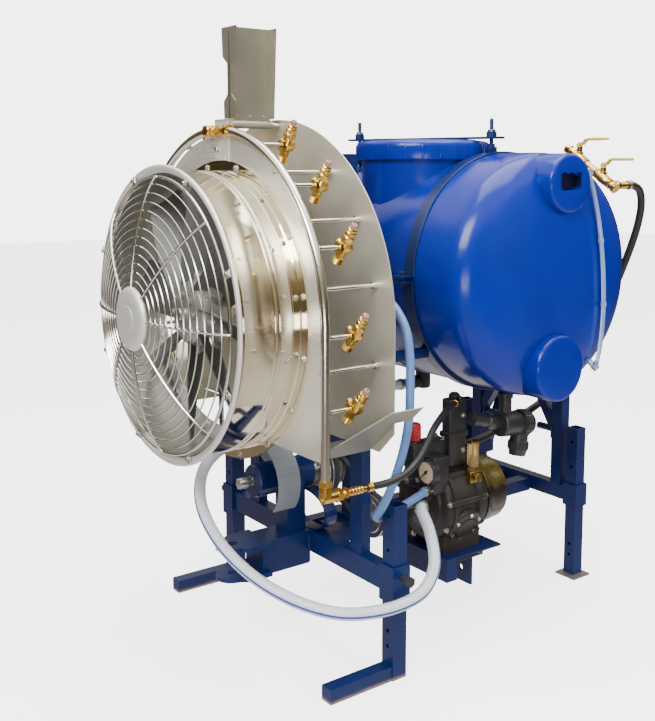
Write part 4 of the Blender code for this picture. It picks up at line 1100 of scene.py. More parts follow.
def plates():
    bore = DRUM_R - DRUM_WALL
    end = math.degrees(math.asin((FAN_Z - FRONT_FOOT_Z) / bore))
    notch = bore * math.cos(math.radians(end))
    wide, foot = FRONT_ARCH_R, FRONT_FOOT_Z
    outline = arc((0, FAN_Z), wide, 0.0, 180.0, 96)
    outline += [(-wide, foot + 0.004), (-wide + 0.004, foot), (-notch, foot)]
    outline += arc((0, FAN_Z), bore, 180 + end, -end, 120)[1:-1]
    outline += [(notch, foot), (wide - 0.004, foot), (wide, foot + 0.004)]
    show(sheet(outline, [], FRONT_PLATE_Y), "front_plate_skin", "front",
         replaces=("front_plate",))
    rear = arc((0, FAN_Z), REAR_ARCH_R, 0.0, 180.0, 110)
    rear += [(-REAR_ARCH_R, 0.6703), (-0.44, 0.6153), (0.44, 0.6153), (REAR_ARCH_R, 0.6703)]
    holes = [circle((0, FAN_Z), 0.02, 32)]
    show(sheet(rear, holes, REAR_PLATE_Y), "rear_plate_skin", "plate",
         replaces=("rear_plate",))
    studs, nuts = [], []
    for x, z in stud_places():
        studs.append(rod(0.0058, 0.16, (x, -0.4998, z), AHEAD, 20))
        studs.append(rod(0.0085, 0.012, (x, -0.3515, z), AHEAD, 20))
        nuts.append(bolt((x, -0.3358, z), AHEAD, 0.013, 0.006))
        nuts.append(bolt((x, -0.5037, z), BACK, 0.012, 0.004, False))
    for side in (-1, 1):
        studs.append(rod(0.0056, 0.158, (side * 0.0125, -0.4968, 1.4025), AHEAD, 24))
        nuts.append(bolt((side * 0.0125, -0.3358, 1.4025), AHEAD, 0.01, 0.005))
    show(studs, "plate_studs", "wire")
    show(nuts, "plate_nuts", "zinc")
    housing = turned(
        mm((16.5, -286), (37.5, -286), (40, -288.5), (41, -318), (46, -324), (60, -326),
           (61.5, -328), (61.5, -335.8), (16.5, -335.8)), *FAN_AXIS, 64, ring=True,
    )
    rim = [housing] + [bolt(around(0.0525, -0.3262, a), AHEAD, 0.011, 0.006)
                       for a in (45, 135, 225, 315)]
    show(rim, "fan_bearing", "cast")
    keep("top_bracket", "front", 0)
    tab = soften(sheet(mm((-34, 1268), (-26, 1260), (26, 1260), (34, 1268), (34, 1408),
                          (-34, 1408)),
                       [circle((0.02, 1.318), 0.005, 20)], (-0.5062, -0.5037)), 0.0005, 1)
    show(tab, "bracket_tab", "satin")
    heads = [bolt((x, -0.5063, z), BACK, 0.011, 0.005) for x, z in (
        (-0.022, 1.276), (0.022, 1.276), (-0.022, 1.34), (0.022, 1.396), (-0.022, 1.396))]
    show(heads, "bracket_bolts", "zinc")


def rivet(radius, base, direction):
    profile = [(0, 0), (radius, 0), (radius - 0.0006, 0.0012), (0.0018, 0.0018), (0, 0.0019)]
    return spun(profile, base, direction, 16)


def flaps():
    for side, s in SIDES:
        keep("top_flap_" + side, "flap", 0.0006)
        keep("bottom_deflector_" + side, "flap", 0.0005)
        rivets = [rivet(0.0042, (s * 0.0052, y, 1.424), (s, 0, 0))
                  for y in (-0.462, -0.422, -0.382)]
        show(rivets, "flap_rivets_" + side, "zinc", "flap_" + side)
        pins = [rivet(0.004, (s * 0.388, y, 0.6135), UP) for y in (-0.47, -0.38)]
        show(pins, "deflector_rivets_" + side, "zinc", "deflector_" + side)


def nozzle_places():
    places = [
        (MANIFOLD_R * math.cos(math.radians(a)), FAN_Z + MANIFOLD_R * math.sin(math.radians(a)))
        for a in NOZZLE_ANGLES
    ]
    return places + [(MANIFOLD_R, z) for z in NOZZLE_LOW_Z]


def manifolds():
    for side, s in SIDES:
        arch = arc((0, FAN_Z), MANIFOLD_R, 83.5, 0.0, 60)
        low = [(MANIFOLD_R, 0.8), (MANIFOLD_R, 0.585)]
        line = [(s * x, MANIFOLD_Y, z) for x, z in arch + low]
        parts = [path_tube(line, 0.0108, 4)]
        collars = []
        for x, z in nozzle_places():
            parts.append(rod(0.0058, 0.0605, (s * x, MANIFOLD_Y + 0.002, z), AHEAD, 20))
            collars.append(spun(full((8.5, 0), (7.8, 4), (6.2, 6)),
                                (s * x, MANIFOLD_Y + 0.0095, z), AHEAD, 20))
        show(parts + collars, "manifold_pipe_" + side, "wire",
             replaces=("manifold_" + side,))
        foot = Vector((s * MANIFOLD_R, MANIFOLD_Y, 0.545))
        brass_parts = [
            hexagon(foot + Vector((0, 0, 0.04)), DOWN, 0.03, 0.014),
            spun(full((14.5, 0), (15, 4), (15, 30), (11, 36)),
                 foot + Vector((0, 0, 0.03)), DOWN, 32),
            spun(full((13.5, -10), (14, 0), (14, 30)), foot, AHEAD, 32),
            hexagon(foot + Vector((0, 0.03, 0)), AHEAD, 0.03, 0.013),
            hexagon(foot + Vector((0, 0.05, 0)), AHEAD, 0.026, 0.01),
        ]
        tail = mm((0, 40), (9.5, 40), (9.5, 66))
        for i in range(5):
            tail += [(0.01, 0.066 + 0.009 * i), (0.0084, 0.0735 + 0.009 * i)]
        tail += [(0.008, 0.1152), (0, 0.1152)]
        brass_parts.append(spun(tail, foot, AHEAD, 28))
        show(brass_parts, "manifold_elbow_" + side, "brass")
    z = FAN_Z + MANIFOLD_R * math.sin(math.radians(84.5))
    reach = MANIFOLD_R * math.cos(math.radians(83.5))
    tee = [
        rod(0.012, 2 * reach - 0.012, (-reach + 0.006, MANIFOLD_Y, z), RIGHT, 32),
        hexagon((-reach - 0.006, MANIFOLD_Y, z - 0.001), (1, 0, 0.04), 0.029, 0.015),
        hexagon((reach + 0.004, MANIFOLD_Y, z - 0.001), (-1, 0, 0.04), 0.029, 0.015),
        spun(full((14.2, 0), (15, 4), (15, 26), (14.2, 30)), (-0.027, MANIFOLD_Y, z), RIGHT, 32),
        rod(0.0105, 0.018, (-0.012, MANIFOLD_Y - 0.01, z), BACK, 28),
        hexagon((-0.012, MANIFOLD_Y - 0.02, z), BACK, 0.024, 0.0115),
    ]
    show(tee, "manifold_tee", "brass")


def nozzles():
    for number, (x, z) in enumerate(nozzle_places()):
        lean = math.radians(NOZZLE_LEAN[number])
        for side, s in SIDES:
            out = Vector((s * math.cos(lean), 0, math.sin(lean)))
            centre = Vector((s * x, -0.432, z))
            cross = Vector(AHEAD).cross(out).normalized()
            body = f"nozzle_{side}_body_{number + 1}"
            node = f"nozzle_{side}_{number + 1}"
            parts = [
                hexagon((s * x, STUB_END_Y + 0.0003, z), AHEAD, 0.0265, 0.011),
                spun(mm((0, 0), (12, 0), (14, 3), (16.5, 8), (17, 16), (15.5, 24), (11, 29),
                        (5, 30.8), (0, 31)), (s * x, STUB_END_Y + 0.0095, z), AHEAD, 32),
                spun(full((10, -30), (11.2, -26), (11.2, -14), (15.5, -9), (16.5, 0), (15.5, 9),
                          (12, 14), (11.5, 20), (10, 24)), centre, out, 32),
                hexagon(centre + 0.022 * out, out, 0.0265, 0.013),
                spun(full((12, 34), (12.8, 37), (12.8, 46), (11.2, 48), (11.2, 53), (9.5, 55.5),
                          (8, 56)), centre, out, 32),
            ]
            ribs = mm((0, -47), (8, -47), (11.2, -45.8))
            for i in range(5):
                ribs += [(0.013, -0.0446 + 0.0032 * i), (0.0116, -0.043 + 0.0032 * i)]
            ribs += [(0.011, -0.028), (0, -0.028)]
            parts.append(spun(ribs, centre, out, 32))
            parts.append(spun(full((6.2, 0), (6.2, 18), (8.2, 19), (8.2, 26), (7, 27.5)),
                              centre - 0.004 * out, -cross if s > 0 else cross, 24))
            parts.append(hexagon(centre - 0.004 * out + (0.013 if s < 0 else -0.013) * cross,
                                 -cross if s > 0 else cross, 0.0165, 0.005))
            show(parts, f"{node}_brass", "brass", body, (node,), 34)
            tip = spun(mm((0, 55), (7.8, 55), (8.2, 59), (7.8, 64), (6.8, 67.2), (3, 67.6),
                          (2.2, 65.5), (0, 65.2)), centre, out, 28)
            show(tip, f"{node}_tip", "tip", body)


fan_guard()
fan_drum()
fan_rotor()
shafts()
plates()
flaps()
manifolds()
nozzles()


# ---------------------------------------------------------------- tank
def dome_profile(radius, flat, depth, count):
    """One end of the barrel, from its rim to its middle: (radius, x)."""
    points = []
    for i in range(count + 1):
        t = math.radians(90.0 * i / count)
        points.append((radius * max(math.cos(t), 0.0) ** 0.8, flat + depth * math.sin(t) ** 0.8))
    points[-1] = (0.0, flat + depth)
    return points


def boss(side, y, z, radius, hollow):
    """A round moulded boss on the tank's end."""
    profile = [(0, 0.38), (radius, 0.38), (radius, 0.476), (radius - 0.0015, 0.482),
               (radius - 0.005, 0.4865), (radius - 0.01, 0.488), (0, 0.488)]
    if not hollow:
        profile[-1:] = [(radius * 0.5, 0.4885), (0, 0.489)]
    made = turned(profile, "X", (0, y, z), 72)
    if hollow:
        low, high, left, right = 1.232, 1.275, 0.235, 0.318
        outline = [(left + 0.008, low), (right - 0.008, low), (right - 0.002, low + 0.003),
                   (right, low + 0.01), (right, high - 0.006)]
        for i in range(25):
            t = i / 24
            wave = 0.005 * abs(math.sin(3 * math.pi * t))
            outline.append((right - (right - left) * t, high + wave))
        outline += [(left, low + 0.01), (left + 0.002, low + 0.003)]
        grip = sheet(outline, [], (-0.52, -0.455))
        made = cut(made, moved(grip, Matrix.Rotation(math.radians(90), 4, "Z")))
    made = soften(made, 0.0025, 3, 50)
    return mirrored(made) if side < 0 else made


def tank():
    end = dome_profile(TANK_R, TANK_FLAT, DOME_DEPTH, 26)
    middle = [(TANK_R, x) for x in (-0.014, -0.012)] + [(TANK_R + 0.0016, -0.0105),
              (TANK_R + 0.0016, 0.0105)] + [(TANK_R, x) for x in (0.012, 0.014)]
    barrel = turned([(r, -x) for r, x in reversed(end)] + middle + end, "X",
                    (0, TANK_Y, TANK_Z), 144)
    pit = turned([(0, 1.15), (0.1725, 1.15), (0.1725, 1.312), (LID_R + 0.0015, 1.312),
                  (LID_R + 0.0015, 1.42), (0, 1.42)], *NECK_AXIS, 96)
    barrel = cut(barrel, pit)
    neck = turned([(0.1722, 1.148), (0.1722, 1.343), (0.1735, 1.3448), (0.1785, 1.3448),
                   (NECK_R, 1.343), (NECK_R, 1.148)], *NECK_AXIS, 96, ring=True)
    parts = [barrel, neck]
    for side in (-1, 1):
        parts.append(boss(side, 0.277, 1.25, 0.08, True))
        parts.append(boss(side, 0.255, 0.752, 0.092, False))
    show(parts, "tank_skin", "tank", replaces=("tank",), angle=38)
    floors = []
    for side in (-1, 1):
        low, high = sorted((side * 0.4552, side * 0.4572))
        floors.append(block((low, high), (0.2355, 0.3175), (1.2325, 1.2755)))
        for y in ((0.2352, 0.2362), (0.3168, 0.3178)):
            low, high = sorted((side * 0.4572, side * 0.484))
            floors.append(block((low, high), y, (1.24, 1.27)))
    show(floors, "grip_pocket_shade", "pocket")
    basket = turned(mm((150, 1200), (171, 1335), (172.2, 1335), (152.2, 1197), (0, 1197),
                       (0, 1200)), *NECK_AXIS, 72)
    show(basket, "filling_basket", "white")
    fittings = [
        spun(full((24, 0), (24, 10), (20, 14)), (0.12, -0.036, TANK_Z), BACK, 32),
        hexagon((0.12, -0.05, TANK_Z), BACK, 0.032, 0.014),
        spun(full((12.5, 0), (12.5, 14), (10.8, 15.5), (10.8, 21.2)),
             (0.12, -0.064, TANK_Z), BACK, 28),
        spun(full((34, 0), (34, 12), (24, 18), (24, 70), (22, 74.5)),
             (-0.1, TANK_Y, 0.6665), DOWN, 40),
        spun(full((19, 0), (19, 60), (16.5, 63), (15.8, 80)), (-0.1, TANK_Y, 0.612), BACK, 32),
        hexagon((-0.1, 0.249, 0.612), BACK, 0.04, 0.014),
    ]
    show(fittings, "tank_fittings", "black")


def lid():
    low, top = LID_Z
    profile = (mm((0, -4), (120, -4), (126, -0.5), (158, -0.5), (162, -3), (178, -3.5),
                  at=(0, top))
               + mm((-12, -4.5), (-5, -7.5), (-1, -14), (0, -22), at=(LID_R, top))
               + mm((0, 6), (-1, 1), (-3, 0), at=(LID_R, low))
               + mm((2.2, 0), (1.5, 2), at=(NECK_R, low))
               + [(NECK_R + 0.0015, 1.3458), (0, 1.3458)])
    parts = [turned(profile, *NECK_AXIS, 120)]
    for i in range(24):
        rib = rounded_block((-0.004, 0.004), (LID_R - 0.003, LID_R + 0.0022),
                            (low + 0.004, top - 0.016), 0.0015, 2)
        parts.append(moved(rib, posed((0, NECK_Y, 0), 15 * i + 4, "Z")))
    show(parts, "lid_skin", "tank", "lid", ("tank_lid",), 38)
    keep("lid_clamp_bar", "paint", 0.001)
    caps = []
    for s, y in ((1, ROD_Y[0]), (-1, ROD_Y[1])):
        caps.append(turned(mm((6.6, 1392.6), (11, 1392.6), (11, 1399), (6.6, 1399)),
                           "Z", (s * STRAP_X, y, 0), 24, ring=True))
    show(caps, "clamp_washers", "zinc", "clamp")


def band_arc(inner, outer, x, first, last, steps=60):
    """A band round the tank's axis, from one angle to another (0 is +Y, 90 is up)."""
    bm = bmesh.new()
    rings = []
    edge = min(0.0012, (outer - inner) / 3)
    section = [(inner, x[0]), (inner, x[1]), (outer - edge, x[1]), (outer, x[1] - edge),
               (outer, x[0] + edge), (outer - edge, x[0])]
    for i in range(steps + 1):
        a = math.radians(first + (last - first) * i / steps)
        rings.append([bm.verts.new((at, TANK_Y + r * math.cos(a), TANK_Z + r * math.sin(a)))
                      for r, at in section])
    count = len(section)
    for low, high in zip(rings, rings[1:]):
        for k in range(count):
            m = (k + 1) % count
            bm.faces.new((low[k], low[m], high[m], high[k]))
    bm.faces.new(rings[0])
    bm.faces.new(rings[-1])
    return solid(bm)


def threaded(base, top, radius, pitch=0.00175):
    """A threaded rod standing on a base point."""
    profile = [(0, 0)]
    for i in range(int((top - base[2] - 0.002) / pitch)):
        profile += [(radius, i * pitch), (radius - 0.0007, (i + 0.5) * pitch)]
    profile += [(radius - 0.001, top - base[2] - 0.0005), (0, top - base[2])]
    return spun(profile, base, UP, 14)


def straps():
    inner = TANK_R + 0.0004
    half = 0.02
    span = (STRAP_X - half, STRAP_X + half)
    for side, s, rod_y in (("right", 1, ROD_Y[0]), ("left", -1, ROD_Y[1])):
        outer = inner + 0.004
        parts = [band_arc(inner, outer, span, 0.9, 179.1)]
        base = TANK_Z + math.sqrt(outer ** 2 - (rod_y + 0.014 - TANK_Y) ** 2) - 0.003
        for y in (-0.363, 0.363):
            ear = (TANK_Y + y - 0.02, TANK_Y + y + 0.02)
            parts.append(rounded_block(span, ear, (TANK_Z + 0.004, TANK_Z + 0.01), 0.0012, 2))
            parts.append(bolt((STRAP_X, TANK_Y + y, TANK_Z + 0.0104), UP, 0.013, 0.008))
        parts.append(rounded_block((STRAP_X - 0.01, STRAP_X + 0.01),
                                   (rod_y - 0.014, rod_y + 0.014), (base - 0.0005, base + 0.016),
                                   0.0015, 2))
        parts.append(threaded((STRAP_X, rod_y, base), 1.43, 0.006))
        parts.append(hexagon((STRAP_X, rod_y, base + 0.0155), UP, 0.019, 0.01))
        upper = gather(*parts)
        saddle_outer = inner + 0.008
        lower_parts = [band_arc(inner, saddle_outer, span, 180.9, 359.1)]
        for low, high in ((TANK_Y - 0.383, TANK_Y - inner - 0.003),
                          (TANK_Y + inner + 0.003, TANK_Y + 0.383)):
            lower_parts.append(rounded_block(span, (low, high), (TANK_Z - 0.012, TANK_Z - 0.004),
                                             0.0012, 2))
        lower_parts.append(rounded_block((0.212, 0.242), (-0.262, -0.002), (0.775, 0.8),
                                         0.0015, 2))
        lower_parts.append(rounded_block((0.225, 0.242), (-0.262, -0.232), (0.6405, 0.79),
                                         0.0012, 2))
        foot = rounded_block((0.2005, 0.242), (0.34, 0.385), (-0.02, 0.02), 0.0015, 2)
        lower_parts.append(moved(foot, posed((0, TANK_Y, TANK_Z), -30, "X")))
        for y in (-0.363, 0.363):
            lower_parts.append(bolt((STRAP_X, TANK_Y + y, TANK_Z - 0.0124), DOWN, 0.013, 0.008))
        lower = gather(*lower_parts)
        if s < 0:
            upper, lower = mirrored(upper), mirrored(lower)
        show(upper, "strap_" + side + "_band", "paint",
             replaces=("strap_" + side,))
        show(lower, "saddle_" + side + "_band", "paint",
             replaces=("tank_saddle_" + side,))


def level_tube():
    points = []
    for i in range(57):
        z = 1.28 - 0.555 * i / 56
        y = 0.393 + 0.115 * (1.285 - z)
        out = math.hypot(y - TANK_Y, z - TANK_Z) / TANK_R
        x = TANK_FLAT + DOME_DEPTH * (1 - out ** 2.5) ** 0.4 + 0.0125 + 0.024 * out ** 8
        points.append(Vector((x, y, z)))
    show(tube_mesh(points, 0.006, 20), "level_tube_skin", "level",
         replaces=("level_tube",), angle=60)
    clips = []
    for i in (1, 19, 37, 55):
        spot = points[i]
        along = (points[i + 1] - points[i - 1]).normalized()
        clips.append(spun(mm((6.1, -6), (7.8, -6), (8.2, 0), (7.8, 6), (6.1, 6)),
                          spot, along, 24, ring=True))
    for spot, out in ((points[0], (-1, 0.15, 0.15)), (points[-1], (-1, -0.3, 0.9))):
        clips.append(spun(full((10, -10), (11, -4), (11, 6), (8.5, 8), (8.5, 40)), spot, out, 24))
    show(clips, "level_tube_clips", "level")


tank()
lid()
straps()
level_tube()


# ---------------------------------------------------------------- pump group
def pump():
    x, z = PUMP.x, PUMP.z
    case = turned(
        mm((15.5, 0), (50, 0), (56, 4), (80, 6), (86, 12), (102, 15), (111, 22), (114, 30),
           (120.5, 33), (120.5, 47), (114, 50), (113, 118), (121.5, 122), (121.5, 140),
           (114, 144), (112, 158), (106, 170), (98, 175), (15.5, 175)),
        "Y", (x, 0, z), 88, ring=True,
    )
    dark, bolts = [case], []
    for a in (90, 210, 330):
        out = radial(a)
        middle = Vector((x, 0.085, z))
        dark.append(spun(full((50, 60), (52, 64), (52, 104), (56, 107), (56, 115.5), (53, 118.5),
                              (36, 120), (32, 123.5), (14, 124.5)), middle, out, 48))
        cross = Vector(AHEAD).cross(out)
        for k in range(6):
            b = math.radians(60 * k + 30)
            spot = middle + 0.117 * out + 0.0455 * (math.cos(b) * Vector(AHEAD)
                                                     + math.sin(b) * cross)
            bolts.append(bolt(spot, out, 0.011, 0.006))
        rib = rounded_block((-0.006, 0.006), (0.028, 0.142), (0.075, 0.118), 0.003, 2)
        dark.append(moved(rib, posed((x, 0, z), 90 - a, "Y")))
    for i in range(9):
        a = 40 * i + 10
        seat = Vector((x, 0.0, z)) + 0.1125 * radial(a)
        dark.append(spun(full((9.5, 20), (10, 24), (10, 150), (8.5, 155)), seat, AHEAD, 20))
        bolts.append(bolt(seat + Vector((0, 0.0196, 0)), BACK, 0.011, 0.006))
        bolts.append(bolt(seat + Vector((0, 0.1556, 0)), AHEAD, 0.011, 0.005, False))
    for side in (-1, 1):
        foot_x = x + side * 0.065
        dark.append(rounded_block((foot_x - 0.02, foot_x + 0.02), (0.02, 0.16),
                                  (0.1885, 0.272), 0.004, 3))
        dark.append(rounded_block((foot_x - 0.026, foot_x + 0.026), (0.01, 0.17),
                                  (0.1885, 0.2), 0.003, 3))
        for y in (0.028, 0.152):
            bolts.append(bolt((foot_x + side * 0.0225, y, 0.2003), UP, 0.012, 0.007))
    show(dark, "pump_case", "cast", replaces=("pump_body",), angle=34)
    black = [
        rounded_block((0.165, 0.29), (-0.0215, 0.035), (0.4, 0.505), 0.006, 3),
        rounded_block((0.195, 0.246), (-0.058, 0.07), (0.47, 0.536), 0.005, 3),
        rounded_block((0.225, 0.262), (0.06, 0.125), (0.455, 0.65), 0.007, 3),
        rounded_block((0.221, 0.266), (0.056, 0.129), (0.54, 0.556), 0.004, 3),
        turned(full((30.5, -10), (33, -13), (33, -34), (32.2, -35.2), (30, -35.2), (29.2, -33.5)),
               *GAUGE_AXIS, 64),
        spun(full((17, 0), (17, 12), (14, 15)), (0.222, -0.035, 0.525), UP, 40),
        spun(full((16, 0), (16, 10), (10, 15)), (0.2435, 0.0925, 0.6495), UP, 32),
        rounded_block((0.19, 0.222), (0.03, 0.12), (0.455, 0.5), 0.005, 3),
    ]
    show(black, "pump_valve_block", "black_cast", angle=34)
    for at in ((0.176, 0.492), (0.176, 0.413), (0.279, 0.413), (0.222, 0.428)):
        bolts.append(bolt((at[0], -0.0222, at[1]), BACK, 0.011, 0.006))
    for at in ((0.204, -0.048), (0.204, 0.06), (0.239, 0.055)):
        bolts.append(bolt((at[0], at[1], 0.5362), UP, 0.01, 0.006))
    for at in ((0.11, 0.5), (0.11, 0.6)):
        bolts.append(bolt((0.2622, at[0], at[1]), RIGHT, 0.01, 0.005))
    show(bolts, "pump_bolts", "zinc")
    face = turned(mm((0, -33.6), (33, -33.6), (33, -34.8), (0, -35)), *GAUGE_AXIS, 48)
    show(face, "gauge_face", "cream")
    bezel = turned(mm((32.8, -34.4), (32.8, -36.6), (33.8, -37.2), (35.8, -37), (36.8, -35.6),
                      (36.8, -14), (32.8, -12)), *GAUGE_AXIS, 64, ring=True)
    show(bezel, "gauge_bezel", "black")
    ticks = []
    for i in range(31):
        long = i % 5 == 0
        tick = block((-0.0008, 0.0008) if long else (-0.0004, 0.0004),
                     (-0.03535, -0.0347), (0.0245 if long else 0.0275, 0.0306))
        ticks.append(moved(tick, posed(GAUGE, -135 + 9 * i, "Y")))
    show(ticks, "gauge_ticks", "black")
    brass_parts = [
        rounded_block((0.252, 0.306), (0.1, 0.145), (0.412, 0.446), 0.004, 3),
        hexagon((0.288, 0.125, 0.444), UP, 0.034, 0.016),
        hexagon((0.306, 0.122, 0.43), RIGHT, 0.022, 0.009),
        spun(mm((0, 0), (17.5, 0), (18, 2), (18, 7), (0, 8)), (0.288, 0.125, 0.524), UP, 32),
        hexagon((0.245, 0.105, 0.645), (0.024, -0.032, 0), 0.024, 0.014),
        spun(full((10, 0), (10, 30), (8.8, 32), (8.8, 39.8)),
             (0.245, 0.105, 0.645), (0.024, -0.032, 0), 24),
    ]
    show(brass_parts, "pump_brass", "dark_brass")
    glass = spun(mm((0, 0), (16, 0), (16.5, 3), (16.5, 66), (16, 69), (0, 70)),
                 (0.288, 0.125, 0.456), UP, 40)
    show(glass, "oil_sight_glass", "sight")
    ports = []
    for start, end, radius in (
        ((0.25, -0.01, 0.405), (0.3165, -0.0855, 0.3935), 0.013),
        ((0.262, 0.0, 0.425), (0.298, -0.06, 0.425), 0.0098),
        ((0.15, 0.15, 0.47), (0.15, 0.1735, 0.47), 0.0098),
    ):
        along = Vector(end) - Vector(start)
        length = along.length
        barbs = [(0, 0), (radius, 0), (radius, length - 0.014)]
        for i in range(3):
            barbs += [(radius, length - 0.0138 + 0.004 * i),
                      (radius - 0.0016, length - 0.0102 + 0.004 * i)]
        barbs += [(0, length - 0.0004)]
        ports.append(spun(barbs, start, along, 28))
        ports.append(hexagon(Vector(start) + along * (0.35 if length > 0.05 else 0.1), along,
                             2.3 * radius, 0.012 if length > 0.05 else 0.007))
    ports.append(rounded_block((0.135, 0.165), (0.12, 0.1655), (0.42, 0.483), 0.004, 3))
    show(ports, "pump_ports", "cast")
    hand = sheet(mm((-0.8, 27), (0.8, 27), (2.6, 2), (3, -4), (2, -11), (-2, -11), (-3, -4),
                    (-2.6, 2)), [], (-0.0376, -0.0366))
    hand = moved(hand, posed(GAUGE, -135, "Y"))
    boss_cap = turned(mm((0, -35.6), (4.2, -35.6), (4.6, -36.4), (4.6, -38), (3.4, -38.8),
                         (0, -39)), *GAUGE_AXIS, 28)
    show([hand, boss_cap], "needle_skin", "black", "needle", ("gauge_needle",))
    rear = 0.1753
    shield = turned(
        [(0.062, rear), (0.104, rear), (0.106, rear + 0.0015), (0.106, rear + 0.005),
         (0.104, rear + 0.008), (0.1005, rear + 0.012), (0.0985, 0.215), (0.0955, 0.24),
         (0.094, 0.26), (0.093, 0.262), (0.0905, 0.262), (0.09, 0.26), (0.0925, 0.235),
         (0.0965, rear + 0.01), (0.096, rear + 0.005), (0.062, rear + 0.004)],
        "Y", (x, 0, z), 88, ring=True,
    )
    show(shield, "shield_skin", "amber", replaces=("pto_shield",), angle=40)
    grip = turned(full((12.5, 592), (15, 590.5), (16.8, 587), (17, 546), (15, 542.5), (13, 541.2)),
                  "Z", (0.222, -0.035, 0), 40)
    parts = [grip]
    for i in range(16):
        a = math.tau * i / 16
        parts.append(spun(mm((0, 0), (2.1, 0.4), (2.1, 35), (1, 37), (0, 37.2)),
                          (0.222 + 0.016 * math.cos(a), -0.035 + 0.016 * math.sin(a), 0.5475),
                          UP, 10))
    show(parts, "knob_skin", "red", "knob", ("pressure_knob",))


def filter_group():
    first, last = Vector((0.275, 0.24, 0.556)), Vector((0.275, 0.372, 0.542))
    along = last - first
    body = [
        spun(full((33, 0), (36, 3), (36, 70), (34, 73), (34, 78), (38.5, 80), (38.5, 108),
                  (36, 111), (33, 122), (26, 130), (12, 132.7)), first, along, 56),
        spun(mm((0, 0), (26.2, 0), (26.2, 50), (29, 52), (29, 76), (26.5, 80), (24, 93.5),
                (0, 93.8)), (0.275, 0.33, 0.545), (0, -0.012, -0.093), 44),
        spun(full((20.5, 0), (20.5, 20), (17.5, 24), (17.5, 60), (21.5, 64), (21.5, 90), (19, 94),
                  (19, 124.7)), (0.275, 0.13, 0.59), (0, 0.12, -0.034), 36),
        spun(mm((0, 0), (18, 0), (18, 70), (22, 72), (22, 86), (0, 87)),
             (0.275, 0.265, 0.56), UP, 36),
    ]
    for i in range(20):
        a = math.tau * i / 20
        heading = along.normalized()
        side, up = Vector(RIGHT), heading.cross(Vector(RIGHT))
        spot = first + 0.081 * heading + 0.0385 * (math.cos(a) * side + math.sin(a) * up)
        body.append(spun(mm((0, 0), (2.6, 1), (2.6, 25), (0, 26)), spot, along, 8))
        heading = Vector((0, -0.012, -0.093)).normalized()
        up = heading.cross(side)
        spot = (Vector((0.275, 0.33, 0.545)) + 0.053 * heading
                + 0.029 * (math.cos(a) * side + math.sin(a) * up))
        body.append(spun(mm((0, 0), (2.1, 1), (2.1, 21), (0, 22)), spot, heading, 8))
    show(body, "filter_skin", "black",
         replaces=("suction_filter",), angle=36)


def valves():
    start, end = Vector((0.12, VALVE_Y, 1.352)), Vector((0.312, VALVE_Y, 1.225))
    along = (end - start).normalized()
    length = (end - start).length
    pipe = [
        rod(0.0125, length, start, along, 28),
        hexagon(start - 0.001 * along, along, 0.03, 0.014),
        hexagon(end - 0.012 * along, along, 0.03, 0.013),
    ]
    for x, z_low, z_high in ((0.168, 1.32, 1.355), (0.262, 1.258, 1.292)):
        centre = start + along * ((x - start.x) / along.x)
        pipe.append(spun(full((13.5, -26), (16.5, -14), (17.2, 0), (16.5, 14), (13.5, 26)),
                         centre, along, 32))
        for s in (-1, 1):
            pipe.append(hexagon(centre + s * 0.024 * along, s * along, 0.03, 0.011))
        pipe.append(spun([(0, 0), (0.0118, 0), (0.0118, 0.018), (0.009, 0.02),
                          (0.009, z_high - z_low), (0, z_high - z_low)],
                         (x, VALVE_Y, z_low), UP, 24))
    pipe.append(spun(full((12.2, 0), (12.2, 34), (10.8, 36), (11.8, 44), (10.8, 52), (11.8, 60),
                          (11.2, 69.8)), (0.296, VALVE_Y, 1.236), AHEAD, 28))
    pipe.append(hexagon((0.296, 0.706, 1.236), AHEAD, 0.028, 0.012))
    pipe.append(rod(0.01, 0.066, (0.205, VALVE_Y, 1.2345), UP, 24))
    show(pipe, "valve_skin", "brass", replaces=("valve_block",))
    for name, body, x, z in (("valve_lever_inner", "lever_inner", 0.168, 1.355),
                             ("valve_lever_outer", "lever_outer", 0.262, 1.292)):
        keep(name, "yellow", 0.0006)
        grip = rounded_block((x + 0.034, x + 0.1055), (0.6795, 0.7005), (z + 0.019, z + 0.028),
                             0.003, 3)
        show(grip, name + "_grip", "grip", body)
        show(hexagon((x, VALVE_Y, z + 0.0088), UP, 0.011, 0.006), name + "_nut", "zinc",
             body)


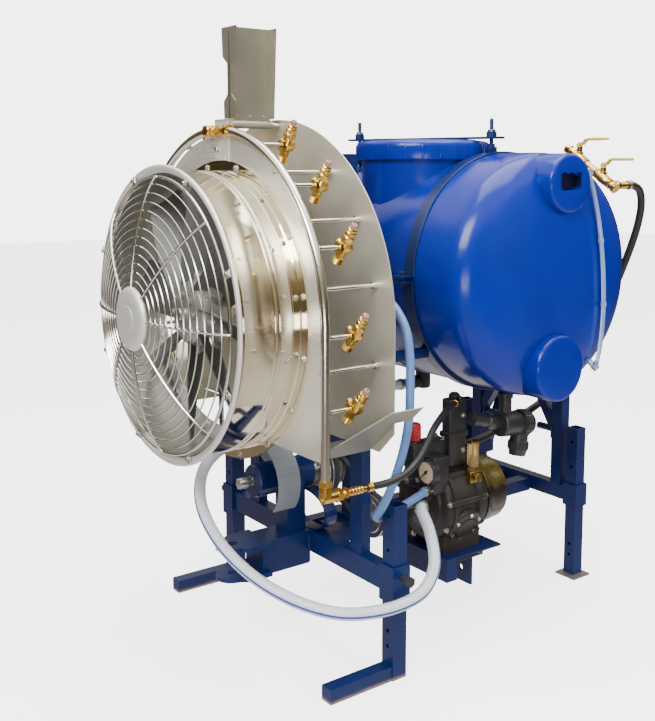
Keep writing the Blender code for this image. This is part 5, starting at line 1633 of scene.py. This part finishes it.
# ---------------------------------------------------------------- frame details
def weld(start, end, radius=0.003):
    """A weld bead: a row of overlapping scallops."""
    start, end = Vector(start), Vector(end)
    along = end - start
    count = max(3, int(along.length / 0.0035))
    profile = [(0, -0.001)]
    for i in range(count):
        at = along.length * (i + 0.5) / count
        profile += [(radius * 0.78, at - 0.0016), (radius, at), (radius * 0.8, at + 0.0015)]
    profile.append((0, along.length + 0.001))
    return spun(profile, start, along, 10)


FRAME_WELDS = (
    ((0.226, -0.2625, 0.2855), (0.274, -0.2625, 0.2855)),
    ((0.226, -0.2315, 0.2855), (0.274, -0.2315, 0.2855)),
    ((0.2245, -0.2625, 0.557), (0.2245, -0.2625, 0.598)),
    ((0.371, -0.2672, 0.228), (0.371, -0.2672, 0.283)),
    ((0.371, -0.247, 0.2855), (0.371, -0.229, 0.2855)),
    ((0.0455, -0.2675, 0.194), (0.0455, -0.2675, 0.27)),
    ((0.037, -0.2268, 0.2755), (0.073, -0.2268, 0.2755)),
    ((0.022, -0.1055, 0.2855), (0.022, -0.0795, 0.2855)),
    ((0.162, 0.5998, 0.2855), (0.198, 0.5998, 0.2855)),
    ((0.162, 0.6368, 0.2855), (0.198, 0.6368, 0.2855)),
    ((0.037, 0.5996, 0.2755), (0.073, 0.5996, 0.2755)),
    ((0.1595, 0.5998, 0.43), (0.1595, 0.5998, 0.47)),
)


def frame_details():
    for node in ("rear_frame", "front_frame", "chassis_rails", "drawbar_clevis", "hitch_mast",
                 "shaft_bearing"):
        keep(node, "paint", 0.0016)
    for node in ("rear_leg_right", "rear_leg_left", "front_leg_right", "front_leg_left"):
        keep(node, "leg", 0.0016)
    for side in ("right", "left"):
        keep("leg_screw_" + side, "black", 0.0008)
    beads = []
    for s in (-1, 1):
        for start, end in FRAME_WELDS:
            beads.append(weld((s * start[0], *start[1:]), (s * end[0], *end[1:])))
    show(beads, "frame_welds", "paint")
    keep("fan_belt", "rubber", 0)
    keep("pump_belt", "rubber", 0)
    keep("shaft_guard", "guard", 0.0006)


pump()
filter_group()
valves()
frame_details()
